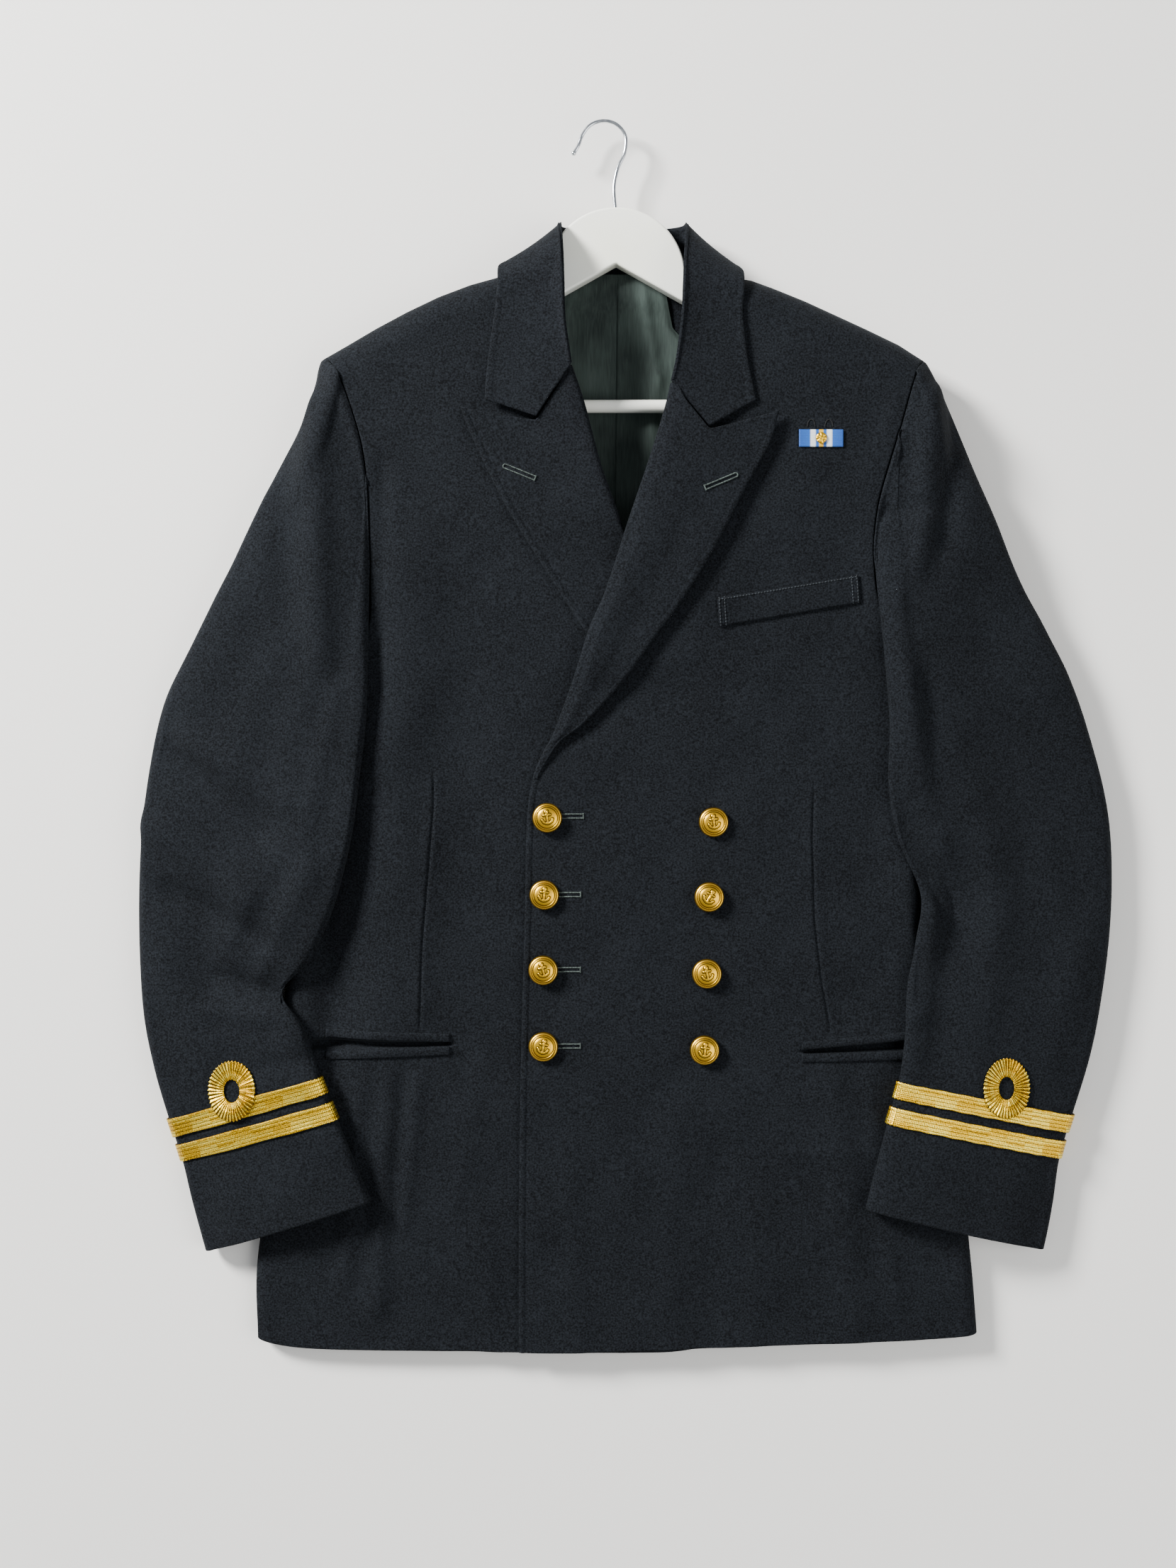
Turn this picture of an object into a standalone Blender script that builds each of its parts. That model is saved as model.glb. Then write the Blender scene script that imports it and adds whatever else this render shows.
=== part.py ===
"""Naval officer's reefer jacket of dark blue wool, lying flat on its back with a hanger inside.

Sizes are millimetres until a mesh is made. +X is the viewer's right, +Y runs from hem to hook,
+Z is up and the surface that the jacket lies on is z = 0. The wearer's left front is on +X.
"""
import math

import bpy
import numpy as np
from mathutils import Vector
from mathutils.bvhtree import BVHTree

MM = 0.001

# Cloth and seams
WALL = 2.0
COLLAR_WALL = 1.8
LINING_WALL = 1.0
LACE_WALL = 1.0
SEAM_GAP = 0.3
ARMHOLE_GAP = 0.6
GORGE_GAP = 1.6
LACE_GAP = 0.7
LAYER_GAP = 0.5

# Body
CENTRE_X = -7.0
ARMPIT_Y = 43.0
SHOULDER_RADIUS = 22.0
SIDE_RADIUS = 11.0
OVERLAP_STEP = 3.2
LAPEL_LIFT = 3.5
SIDE_FALL = 0.10
HALF_CHEST = 240.0
NECK_LIFT = 3.2
SLEEVE_RAMP = 55.0
PIT_LIFT = 1.2
SHOULDER_SLOPE = 25.0
ARM_BLEND = 26.0
ARM_BLEND_RUN = 20.0
HEM_ROW = 15
HIDDEN_LAP = {"low": 28.0, "low_run": 32.0, "high": 230.0, "high_run": 60.0, "side": 95.0, "side_run": 55.0}
BACK_RIDGE = {"start": 50.0, "run": 9.0}
NECK_RISE = {"start": 305.0, "run": 18.0, "half": 70.0, "half_run": 25.0}
NECK_TOP = 340.5
NECK_HALF = 53.0
BACK_TOP = 340.0
BACK_HEM_RISE = 6.0

# Sleeves
LEAST_FOLD = 2.4
LIFT_ROW = 8
CUFF_LIFT = 1.9

# Lapels and collar
REST_REACH = 7.0
ROLL_REACH = 14.0
LAPEL_FULL = 40.0
FLAT_BELOW = 140.0
NOTCH_ROWS = 1.6
COLLAR_END_ROWS = 2.2

# Trimmings
BUTTON_RADIUS = 10.7
BUTTON_HEIGHT = 6.2
BUTTON_SIDES = 18
STUD_RADIUS = 3.9
STUD_HEIGHT = 1.2
LACE_STEP = 0.41
WELT_WALL = 1.4
JET_WALL = 1.2
PATCH_REACH = 3.0
LOOP_SIDES = 28
LOOP_REACH = 4.0

# Lining
LINING_TOP = 338.5
LINING_END = 60.0
LINING_REACH = 6.0

# Hanger
BOARD_LOW = 9.0
BOARD_THICK = 12.0
BOARD_BEVEL = 1.2
BAR_RADIUS = 4.7
BAR_SIDES = 14
WIRE_RADIUS = 1.5
WIRE_SIDES = 8
WIRE_STEPS = 26
TIP_SWELL = 0.15


def table(columns, rows):
    """A short table as a dictionary of its named columns."""
    return dict(zip(columns.split(), np.array(rows, float).T))


# Height of the closed body under the over-front, from the hem up.
BODY = table("y crown", [
    (-460, 18), (-445, 18), (-330, 22), (-220, 26), (-120, 30),
    (0, 35), (100, 39), (180, 42), (260, 44), (360, 44)])

# Shoulder ridge, from the photo's left shoulder point to its right one.
SHOULDER = table("x y", [
    (-219.5, 271.9), (-202.4, 281.6), (-179.9, 294.7), (-157.4, 306.7), (-134.9, 317.4),
    (-112, 326), (-92, 331.5), (-75, 336), (-60.3, 341), (-45, 344), (30, 344), (47, 341.5), (62, 336),
    (78, 331), (90, 329), (105.4, 323.5), (128.4, 314.3), (150.9, 304.1), (173.3, 293.9),
    (195.8, 283.2), (216.8, 269.9)])

# Sections across each front: its front or roll edge and its armhole or side edge. Row 9 is the
# armpit. The wearer's left front, on +X, lies over the right one.
FRONT = {
    "left": table("inner_x inner_y outer_x outer_y", [
        (47, 341.5, 216.8, 269.9), (48.3, 313.6, 207.3, 250.5), (42.2, 280.7, 199.9, 233.9),
        (33, 251.6, 193, 214.5), (25, 220, 184.6, 187.5), (14, 185, 178.2, 161.6),
        (2.6, 152.4, 176.2, 131.5), (-13, 104, 180.6, 96.4), (-25, 74, 196.8, 68),
        (-36.2, 41, 230, 46.9), (-51, 4, 227.5, 10), (-67.2, -30, 225, -24),
        (-71.6, -65, 218.5, -70), (-73, -125, 213.9, -125), (-74.9, -190, 221, -190),
        (-76.4, -255, 233.5, -255), (-77.4, -320, 244.5, -320), (-77.8, -385, 252, -385),
        (-77.8, -445, 256, -433)]),
    "right": table("inner_x inner_y outer_x outer_y", [
        (-60.3, 341, -219.5, 271.9), (-56.7, 318.6, -209.5, 257), (-49.6, 290.8, -198.1, 236.4),
        (-40.6, 264.7, -189.2, 212), (-31.6, 238, -184.8, 180.4), (-20.5, 196.4, -183.5, 146.9),
        (-3.3, 148.1, -182.8, 113.3), (12, 103, -184.7, 78.7), (22, 70, -202.9, 56.4),
        (31, 40.8, -241.9, 42.8), (41, 8, -239.5, 8), (51, -24, -237, -24),
        (60.5, -70, -231.5, -70), (62.7, -125, -235, -125), (62.8, -190, -248, -190),
        (63, -255, -254.5, -255), (63.2, -320, -259.8, -320), (63.3, -385, -268.5, -385),
        (63.4, -440, -268, -437)])}
ARMPIT_ROW = 9
HEM_SAG = {"left": 2.0, "right": 7.0}

# Rows of each front's grid down its armhole. The sleeve's front fold starts at the fold row.
ARMHOLE_ROWS = {
    "left": [0, 0.12, 0.4, 0.8, 1.3, 1.9, 2.5, 3, 3.5, 4, 4.5, 5, 5.6, 6.2, 6.9, 7.6, 8.3, 9],
    "right": [0, 0.12, 0.4, 1, 1.7, 2.4, 3.1, 3.8, 4.5, 5.2, 6, 7, 7.4, 7.8, 8.2, 8.6, 9]}
FOLD_ROW = 11
LOWER_ROWS = [9.6, 10.3, 11, 12, 13, 14, 15, 16, 17, 18]

# Sections down each flattened sleeve, armhole to cuff: outer edge, inner edge, where the underside
# crosses the body's side, and the upper surface's height near the outer edge, amid and inside.
ARM_COLUMNS = "outer_x outer_y inner_x inner_y under_x under_y high_out high_mid high_in"
ARM = {
    "right": table(ARM_COLUMNS, [
        (-223.9, 269.9, -183.5, 78.6, -243, 43, 42, 42, 38),
        (-233.2, 231.3, -184, 45.5, -250, 31, 38, 44, 44),
        (-258.9, 180, -185.1, 10.1, -248, 19, 33, 43, 45),
        (-287, 120.6, -189.9, -27.7, -244, 6, 29, 40, 44),
        (-310.9, 72.9, -195.2, -65.7, -241, -14, 26, 37, 42),
        (-335.4, 24, -204.6, -106.3, -238, -73, 24, 35, 40),
        (-347.7, -35.3, -213.3, -132, -235, -116, 23, 32, 37),
        (-352.9, -92.1, -227, -159.9, -238, -154, 22, 29, 34),
        (-353.4, -148.8, -247, -183, -262, -178, 21, 26, 30),
        (-348.8, -210.6, -231.8, -207.9, -242, -208, 21, 28, 34),
        (-341.3, -244.3, -224.6, -227.7, -245, -231, 20, 28, 34),
        (-332, -275.8, -219.5, -243.1, -249, -252, 20, 29, 34),
        (-322.2, -306.8, -207.2, -273.9, -254, -287, 19, 31, 34),
        (-314.2, -340, -195.1, -303.7, -260, -324, 18, 32, 34),
        (-305.4, -373.1, -183, -332.9, -267, -360, 17, 32, 33)]),
    "left": table(ARM_COLUMNS, [
        (217.8, 268.8, 177.1, 161.8, 231, 47, 42, 42, 41),
        (231.9, 239, 178.1, 126, 238, 35, 39, 45, 46),
        (258.7, 174.9, 181.3, 83.2, 237, 23, 34, 44, 47),
        (279.8, 122.2, 184.6, 45.5, 234, 10, 30, 41, 46),
        (300.1, 83.7, 187.5, 7.7, 231, -8, 27, 38, 44),
        (323.6, 39.4, 186.8, -30.2, 228, -30, 25, 36, 42),
        (341.6, -15.2, 192.8, -68.4, 221, -60, 23, 33, 39),
        (352.4, -71.4, 210.9, -113.3, 219, -108, 22, 29, 35),
        (352.4, -133.3, 207.5, -145.4, 218, -144, 21, 28, 34),
        (345.7, -190, 202.6, -178.2, 222, -180, 21, 28, 34),
        (336.7, -234, 199.7, -215.7, 229, -219, 20, 28, 34),
        (324.9, -272.7, 195.5, -246.1, 236, -255, 20, 29, 34),
        (315.6, -304.7, 187.2, -276.5, 242, -288, 19, 32, 35),
        (310.7, -337.4, 179.7, -305.2, 249, -323, 18, 34, 36),
        (304, -371.5, 171.7, -338, 255, -359, 17, 34, 35)])}
HEAD_FADE = [1, 0.62, 0.34, 0.12]
UNDER_FADE = [1, 0.25, 0.05, 0]
CUFF_ROWS = {"upper": 11.0, "lower": 11.59}

# Soft folds pressed into the sleeves: from, to, half width, height (a trough is below zero).
SLEEVE_FOLDS = {
    "right": table("x0 y0 x1 y1 half high", [
        (-232, 225, -236, 70, 16, 3), (-200, 60, -215, -60, 18, -3), (-250, -30, -300, -130, 20, -3),
        (-235, -80, -290, -160, 14, 3), (-255, -183, -300, -168, 12, -4)]),
    "left": table("x0 y0 x1 y1 half high", [
        (236, 225, 228, 130, 16, 3), (182, 160, 222, 172, 9, -3), (205, -60, 238, -120, 14, -4),
        (238, -120, 214, -180, 12, -3), (222, -50, 262, -110, 14, 3)])}

# Lapels from gorge to break: roll edge and outer edge.
LAPEL = {
    "left": table("roll_x roll_y edge_x edge_y", [
        (31, 250.9, 108.4, 231.1), (26.5, 231.9, 101.5, 207.7), (16.1, 197.8, 85, 177.2),
        (0.6, 152, 61, 130.8), (-15, 104, 34.9, 89.7), (-26.5, 77.5, 23.9, 75.7),
        (-38.1, 40.9, 0.7, 42.9), (-51.6, 4.3, -27, 12.4), (-58.7, -9, -46.5, -3), (-64.6, -22, -60.6, -21.5),
        (-67, -30, -64.8, -30)]),
    "right": table("roll_x roll_y edge_x edge_y", [
        (-38.6, 264, -118.3, 234.1), (-29.6, 237.2, -110.9, 215.2), (-18.5, 195.8, -93.9, 178.9),
        (-9.9, 171, -79.9, 153.6), (-1.3, 147.7, -64.8, 129.5), (8.3, 121.3, -47.3, 102.1),
        (20, 88, -30, 76), (24, 76, -22, 66)])}
NOTCH = {"left": (58.6, 217.6), "right": (-64.1, 224.8)}
LAPEL_ROLL = 4.0

# Collar sections from the right lapel's notch round the back of the neck to the left one: outer
# edge of the fall, crease, and seam of the stand.
COLLAR = table("edge_x edge_y edge_z roll_x roll_y roll_z seam_x seam_y seam_z", [
    (-100.7, 238.9, 46.5, -38.6, 264.5, 51, -47, 270, 46),
    (-99.8, 255.6, 47, -41, 280, 51.5, -51, 282, 46),
    (-96.5, 282, 47, -43.2, 298, 52, -54, 300, 46),
    (-93.4, 304, 46.8, -43.8, 320, 51, -57, 319, 46),
    (-92, 323, 45, -44.5, 342, 46, -59, 333, 41),
    (-92, 337, 34, -45.5, 360, 37, -59.5, 342, 32),
    (-87.3, 340, 21, -46.5, 371.5, 24, -59.5, 345, 20),
    (-80, 336, 8, -46.5, 372, 12, -59, 345, 11),
    (-66, 331, 1, -41, 372, 7.8, -54, 342.5, 6.6),
    (-40, 326, 0, -22, 371.5, 8.2, -26, 342, 6.5),
    (-7, 325, 0, -7, 371, 8.2, -7, 342, 6.5),
    (28, 326, 0, 10, 371, 8.2, 14, 342, 6.5),
    (52, 330, 1, 30, 371.5, 7.8, 40, 342.5, 6.6),
    (66, 334, 8, 41, 372, 12, 46.5, 345, 11),
    (78, 338.5, 21, 43.4, 371, 24, 46.2, 346, 20),
    (84, 334, 34, 42.2, 359, 37, 46.6, 342, 32),
    (84, 321, 45, 40.5, 341, 46, 46.8, 332, 41),
    (82.6, 304.6, 46.8, 39.5, 320, 51, 47, 318, 46),
    (83.2, 292, 47, 38.5, 300, 52, 45, 299, 46),
    (86.5, 266, 47, 35, 270, 51.5, 40, 275, 46),
    (92.2, 238.9, 46.5, 31, 251.5, 51, 36, 259, 46)])
COLLAR_ROWS = [0, 0.5, 1, 1.5, 2, 3, 3.5, 4, 4.5, 5, 5.5, 6, 6.5, 7, 7.5, 8, 9, 10,
               11, 12, 12.5, 13, 13.5, 14, 14.5, 15, 15.5, 16, 16.5, 17, 18, 18.5, 19, 19.5, 20]

# Sewn-on pieces of the fronts
WELT = {"lower_left": (66, 78.9), "upper_left": (64.5, 99.1),
        "upper_right": (165.2, 115.7), "lower_right": (166.7, 96)}
JETS = table("side end_x end_y run_x run_y wide", [
    (1, 126.2, -221.5, 206, -214, 6.5), (1, 126.2, -230.3, 206, -228.5, 6.5),
    (-1, -127, -216.3, -217, -213.5, 6.5), (-1, -127, -225.6, -217, -229.5, 6.5)])
BUTTONS = table("column row x y", [
    (0, 0, -56.4, -57.5), (0, 1, -58.6, -112.7), (0, 2, -59.4, -166.8), (0, 3, -59.4, -221.9),
    (1, 0, 62.4, -60.6), (1, 1, 59.4, -114.2), (1, 2, 57.9, -169.3), (1, 3, 56.4, -224.4)])
BUTTON_PROFILE = table("r z", [
    (0, 0), (0.55, 0), (0.97, 0.22), (1.0, 0.4), (0.86, 0.5), (0.5, 0.84), (0, 1)])
RIBBON = {"x": 138.2, "y": 212.2, "wide": 31.5, "high": 12.4, "thick": 1.2}
CURL = {"right": (-283, -253.6), "left": (273.1, -251.6)}
CURL_SIZE = {"wide": 17.4, "high": 21.6, "hole_wide": 5.6, "hole_high": 8.0}

# Hanger: right half of the board's outline, from the top of the head to the notch.
BOARD_HEAD = {"x": -6.5, "y": 333.8, "radius": 49.5}
BOARD_ARM = table("x y", [
    (47, 324), (78, 310), (120, 294), (155, 277), (176, 264), (185, 254), (186, 242), (182, 233),
    (174, 230), (164.3, 231), (164.3, 250), (150, 257), (120, 272), (80, 293.5)])
BOARD_NOTCH = 342.5
BAR_Y = 240.5
BAR_HALF = 171.0
HOOK = [(-7.5, 383.7), (-8.3, 401.2), (-5.9, 412.5), (-0.5, 425.4), (-0.8, 438.3), (-7.5, 445.5),
        (-16.7, 447.5), (-25.5, 444.5), (-31.4, 437.2), (-34.6, 429), (-38.6, 422.5)]


def clear_scene():
    """Remove every object and unused mesh of the open file."""
    for thing in list(bpy.data.objects):
        bpy.data.objects.remove(thing, do_unlink=True)
    for mesh in list(bpy.data.meshes):
        bpy.data.meshes.remove(mesh)


def material(name, colour, roughness, metallic=0.0):
    """A Principled material with one colour."""
    made = bpy.data.materials.new(name)
    made.use_nodes = True
    shader = made.node_tree.nodes["Principled BSDF"]
    shader.inputs["Base Color"].default_value = (*colour, 1)
    shader.inputs["Roughness"].default_value = roughness
    shader.inputs["Metallic"].default_value = metallic
    made.diffuse_color = (*colour, 1)
    return made


def curve(places, values, at):
    """Cubic through a table's values: each stretch is a Hermite arc whose end slopes are the mean
    slopes of its neighbours."""
    order = np.argsort(places)
    places = np.asarray(places, float)[order]
    values = np.asarray(values, float)[order]
    slope = np.gradient(values, places)
    at = np.clip(np.asarray(at, float), places[0], places[-1])
    i = np.clip(np.searchsorted(places, at, side="right") - 1, 0, len(places) - 2)
    width = places[i + 1] - places[i]
    t = (at - places[i]) / width
    start = (1 + 2 * t) * (1 - t) ** 2 * values[i] + t * (1 - t) ** 2 * width * slope[i]
    end = t * t * (3 - 2 * t) * values[i + 1] + t * t * (t - 1) * width * slope[i + 1]
    return start + end


def column(tab, name, at):
    """A named column of a section table, read between its rows."""
    return curve(np.arange(len(tab[name])), tab[name], at)


def smooth(value):
    """0 below 0, 1 above 1, with level ends."""
    t = np.clip(value, 0, 1)
    return t * t * (3 - 2 * t)


def arc_rise(distance, radius):
    """0 at an edge and 1 one radius in from it, along a quarter circle."""
    t = np.clip(distance / radius, 0, 1)
    return np.sqrt(np.maximum(1 - (1 - t) ** 2, 0))


def folds_height(x, y, folds):
    """Sum of soft ridges and troughs, each a bell across its line that dies out at the ends."""
    total = np.zeros(np.broadcast(x, y).shape)
    for x0, y0, x1, y1, half, high in zip(*(folds[k] for k in ("x0", "y0", "x1", "y1", "half", "high"))):
        run = math.hypot(x1 - x0, y1 - y0)
        along = ((x - x0) * (x1 - x0) + (y - y0) * (y1 - y0)) / run
        across = ((x - x0) * (y1 - y0) - (y - y0) * (x1 - x0)) / run
        beyond = np.maximum(np.maximum(-along, along - run), 0)
        total = total + high * np.exp(-(across / half) ** 2 - (beyond / (1.5 * half)) ** 2)
    return total


def side_edge(y, side):
    """X of the body's side below the armpit."""
    rows = np.linspace(ARMPIT_ROW, len(FRONT[side]["outer_x"]) - 1, 240)
    return np.interp(-y, -column(FRONT[side], "outer_y", rows), column(FRONT[side], "outer_x", rows))


def body_limit(y, side):
    """X where the closed body ends: its armhole edge above the armpit, its side below."""
    rows = np.linspace(0, len(FRONT[side]["outer_x"]) - 1, 400)
    return np.interp(-y, -column(FRONT[side], "outer_y", rows), column(FRONT[side], "outer_x", rows))


def body_parts(x, y, side):
    """Crown, mid height and rise (0 at the ridge and side, 1 on the flat) of the closed body."""
    crown = curve(BODY["y"], BODY["crown"], y)
    crown = crown * (1 - SIDE_FALL * ((x - CENTRE_X) / HALF_CHEST) ** 2)
    ridge = (np.interp(x, SHOULDER["x"], SHOULDER["y"]) - y) * math.cos(math.radians(SHOULDER_SLOPE))
    shoulder = arc_rise(ridge, SHOULDER_RADIUS)
    below_arm = smooth((ARMPIT_Y + ARM_BLEND - y) / ARM_BLEND_RUN)
    edge = arc_rise(np.abs(side_edge(y, side) - x), SIDE_RADIUS)
    inside = (side_edge(y, side) - x) * (1 if side == "left" else -1)
    edge = np.where(inside > 0, edge, 0)
    return crown, crown / 2, shoulder * (1 + (edge - 1) * below_arm)


def front_height(x, y, side):
    """Outer surface of a front: mid height at the shoulder and side seams, the crown elsewhere."""
    crown, middle, rise = body_parts(x, y, side)
    if side == "right":
        step = -OVERLAP_STEP * rise
    else:
        lap = HIDDEN_LAP
        hidden = smooth((y - lap["low"]) / lap["low_run"]) * smooth((lap["high"] - y) / lap["high_run"])
        hidden = hidden * smooth((lap["side"] - x) / lap["side_run"])
        step = LAPEL_LIFT * hidden * rise
    return middle + (crown - middle) * rise + step


def back_height(x, y, side):
    """Outer surface of the back: on the floor, up to mid height at the seams, and lifted at the
    neck over the collar's fall."""
    crown, middle, rise = body_parts(x, y, side)
    from_neck = np.abs(x - CENTRE_X)
    ridge = smooth((from_neck - BACK_RIDGE["start"]) / BACK_RIDGE["run"])
    near_neck = 1 - smooth((from_neck - NECK_RISE["half"]) / NECK_RISE["half_run"])
    lift = NECK_LIFT * smooth((y - NECK_RISE["start"]) / NECK_RISE["run"]) * near_neck
    return np.maximum(middle * (1 - rise) * ridge, lift)


def front_rows(side):
    """Row values of a front's grid, shoulder to hem."""
    return np.array(ARMHOLE_ROWS[side] + LOWER_ROWS)


def front_grid(side):
    """Outer points of a front, rows from shoulder to hem, columns from front edge to side."""
    rows = front_rows(side)[:, None]
    tab = FRONT[side]
    inner_x, inner_y = column(tab, "inner_x", rows), column(tab, "inner_y", rows)
    outer_x, outer_y = column(tab, "outer_x", rows), column(tab, "outer_y", rows)
    width = np.abs(outer_x - inner_x)
    arc = SIDE_RADIUS * (1 - np.cos(np.radians([90, 60, 30, 0])))
    plateau = np.linspace(0, 1, 9)[None, :-1]
    across = np.hstack([plateau * (1 - arc[0] / width), 1 - arc[None, :] / width])
    x = inner_x + (outer_x - inner_x) * across
    straight = inner_y + (outer_y - inner_y) * across
    ridge = np.interp(x, SHOULDER["x"], SHOULDER["y"]) - straight
    sag = HEM_SAG[side] * (1 - (2 * across - 1) ** 8)
    y = straight + ridge * np.clip(1 - rows / 3, 0, 1) ** 2 - sag * smooth((rows - HEM_ROW) / 3)
    z = front_height(x, y, side)
    return np.stack([x, y, z], axis=-1)


def back_grid(side):
    """Outer points of a back half, rows from neck and shoulder to hem, columns from the centre
    seam to the side."""
    rows = front_rows(side)[:, None]
    front = front_grid(side)
    outer_x, outer_y = front[:, -1:, 0], front[:, -1:, 1]
    hem = outer_y[-1, 0] - BACK_HEM_RISE
    upper = BACK_TOP + (ARMPIT_Y - BACK_TOP) * rows / ARMPIT_ROW
    lower = ARMPIT_Y + (hem - ARMPIT_Y) * (rows - ARMPIT_ROW) / (rows.max() - ARMPIT_ROW)
    middle_y = np.where(rows < ARMPIT_ROW, upper, lower)
    width = np.abs(outer_x - CENTRE_X)
    arc = SIDE_RADIUS * (1 - np.cos(np.radians([90, 60, 30, 0])))
    plateau = np.array([0, 0.12, 0.25, 0.29, 0.42, 0.62, 0.82])[None, :]
    across = np.hstack([plateau * (1 - arc[0] / width), 1 - arc[None, :] / width])
    x = CENTRE_X + (outer_x - CENTRE_X) * across
    straight = middle_y + (outer_y - middle_y) * across
    top = np.where(np.abs(x - CENTRE_X) < NECK_HALF, NECK_TOP, np.interp(x, SHOULDER["x"], SHOULDER["y"]))
    y = straight + (top - straight) * np.clip(1 - rows / 3, 0, 1) ** 2
    z = back_height(x, y, side)
    return np.stack([x, y, z], axis=-1)


def normals(grid, outward, ring=False):
    """Unit normals of a grid of points, on the side that outward points to at its middle."""
    if ring:
        wide = np.concatenate([grid[:, -1:], grid, grid[:, :1]], axis=1)
        across = (wide[:, 2:] - wide[:, :-2]) / 2
    else:
        across = np.gradient(grid, axis=1)
    down = np.gradient(grid, axis=0)
    normal = np.cross(across, down)
    normal /= np.maximum(np.linalg.norm(normal, axis=-1, keepdims=True), 1e-9)
    middle = normal[grid.shape[0] // 2, grid.shape[1] // 2]
    return normal if np.dot(middle, outward) > 0 else -normal


def inside(grid, wall, outward, ring=False):
    """The points of a wall's inner face. Where a rim stands upright, it stays level."""
    normal = normals(grid, outward, ring)
    inner = grid - wall * normal
    rim = np.zeros(grid.shape[:2], bool)
    rim[[0, -1]] = True
    if not ring:
        rim[:, [0, -1]] = True
    upright = rim & (np.abs(normal[..., 2]) < 0.6)
    flat = normal[..., :2] / np.maximum(np.linalg.norm(normal[..., :2], axis=-1, keepdims=True), 1e-9)
    inner[..., :2] = np.where(upright[..., None], grid[..., :2] - wall * flat, inner[..., :2])
    inner[..., 2] = np.where(upright, grid[..., 2], inner[..., 2])
    return inner


def wall_solid(name, outer, inner, paint, ring=False):
    """Closed solid between two grids of points: both faces and the rim between them."""
    rows, columns = outer.shape[:2]
    number = np.arange(rows * columns).reshape(rows, columns)
    if ring:
        number = np.concatenate([number, number[:, :1]], axis=1)
    far = number + rows * columns
    face = np.stack([number[:-1, :-1], number[:-1, 1:], number[1:, 1:], number[1:, :-1]], axis=-1)
    back = np.stack([far[:-1, :-1], far[1:, :-1], far[1:, 1:], far[:-1, 1:]], axis=-1)
    quads = [face.reshape(-1, 4), back.reshape(-1, 4)]
    edges = [number[0, ::-1], number[-1, :]]
    if not ring:
        edges += [number[:, 0], number[::-1, -1]]
    for edge in edges:
        quads.append(np.stack([edge[:-1], edge[1:], edge[1:] + rows * columns,
                               edge[:-1] + rows * columns], axis=-1))
    points = np.concatenate([outer.reshape(-1, 3), inner.reshape(-1, 3)]) * MM
    return solid(name, points, np.concatenate(quads), paint)


def solid(name, points, faces, paint):
    """An object from points in metres and faces, with its normals turned outward."""
    mesh = bpy.data.meshes.new(name)
    mesh.from_pydata([tuple(p) for p in points], [], [tuple(int(i) for i in f) for f in faces])
    if signed_volume(mesh) < 0:
        mesh.flip_normals()
    mesh.materials.append(paint)
    mesh.update()
    made = bpy.data.objects.new(name, mesh)
    bpy.context.scene.collection.objects.link(made)
    return made


def signed_volume(mesh):
    """Volume that the mesh's faces enclose, below zero when they face inward."""
    total = 0.0
    mesh.calc_loop_triangles()
    for triangle in mesh.loop_triangles:
        a, b, c = (mesh.vertices[i].co for i in triangle.vertices)
        total += a.dot(b.cross(c)) / 6
    return total


def body_base(x, y, side, lift):
    """Height that a sleeve's underside keeps: the floor away from the body, its front over it."""
    way = 1 if side == "left" else -1
    outside = (x - body_limit(y, side)) * way
    near = smooth(1 - (outside - 4) / SLEEVE_RAMP)
    inward = np.minimum(x * way, side_edge(y, side) * way - SIDE_RADIUS) * way
    top = front_height(inward, np.minimum(y, ARMPIT_Y + 60), side) + LAYER_GAP + lift
    below_arm = smooth((ARMPIT_Y + ARM_BLEND - y) / ARM_BLEND)
    over = np.where(outside < 6, 1.0, near * below_arm)
    return np.maximum(0.0, top * over) + lift * (1 - over)


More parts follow.
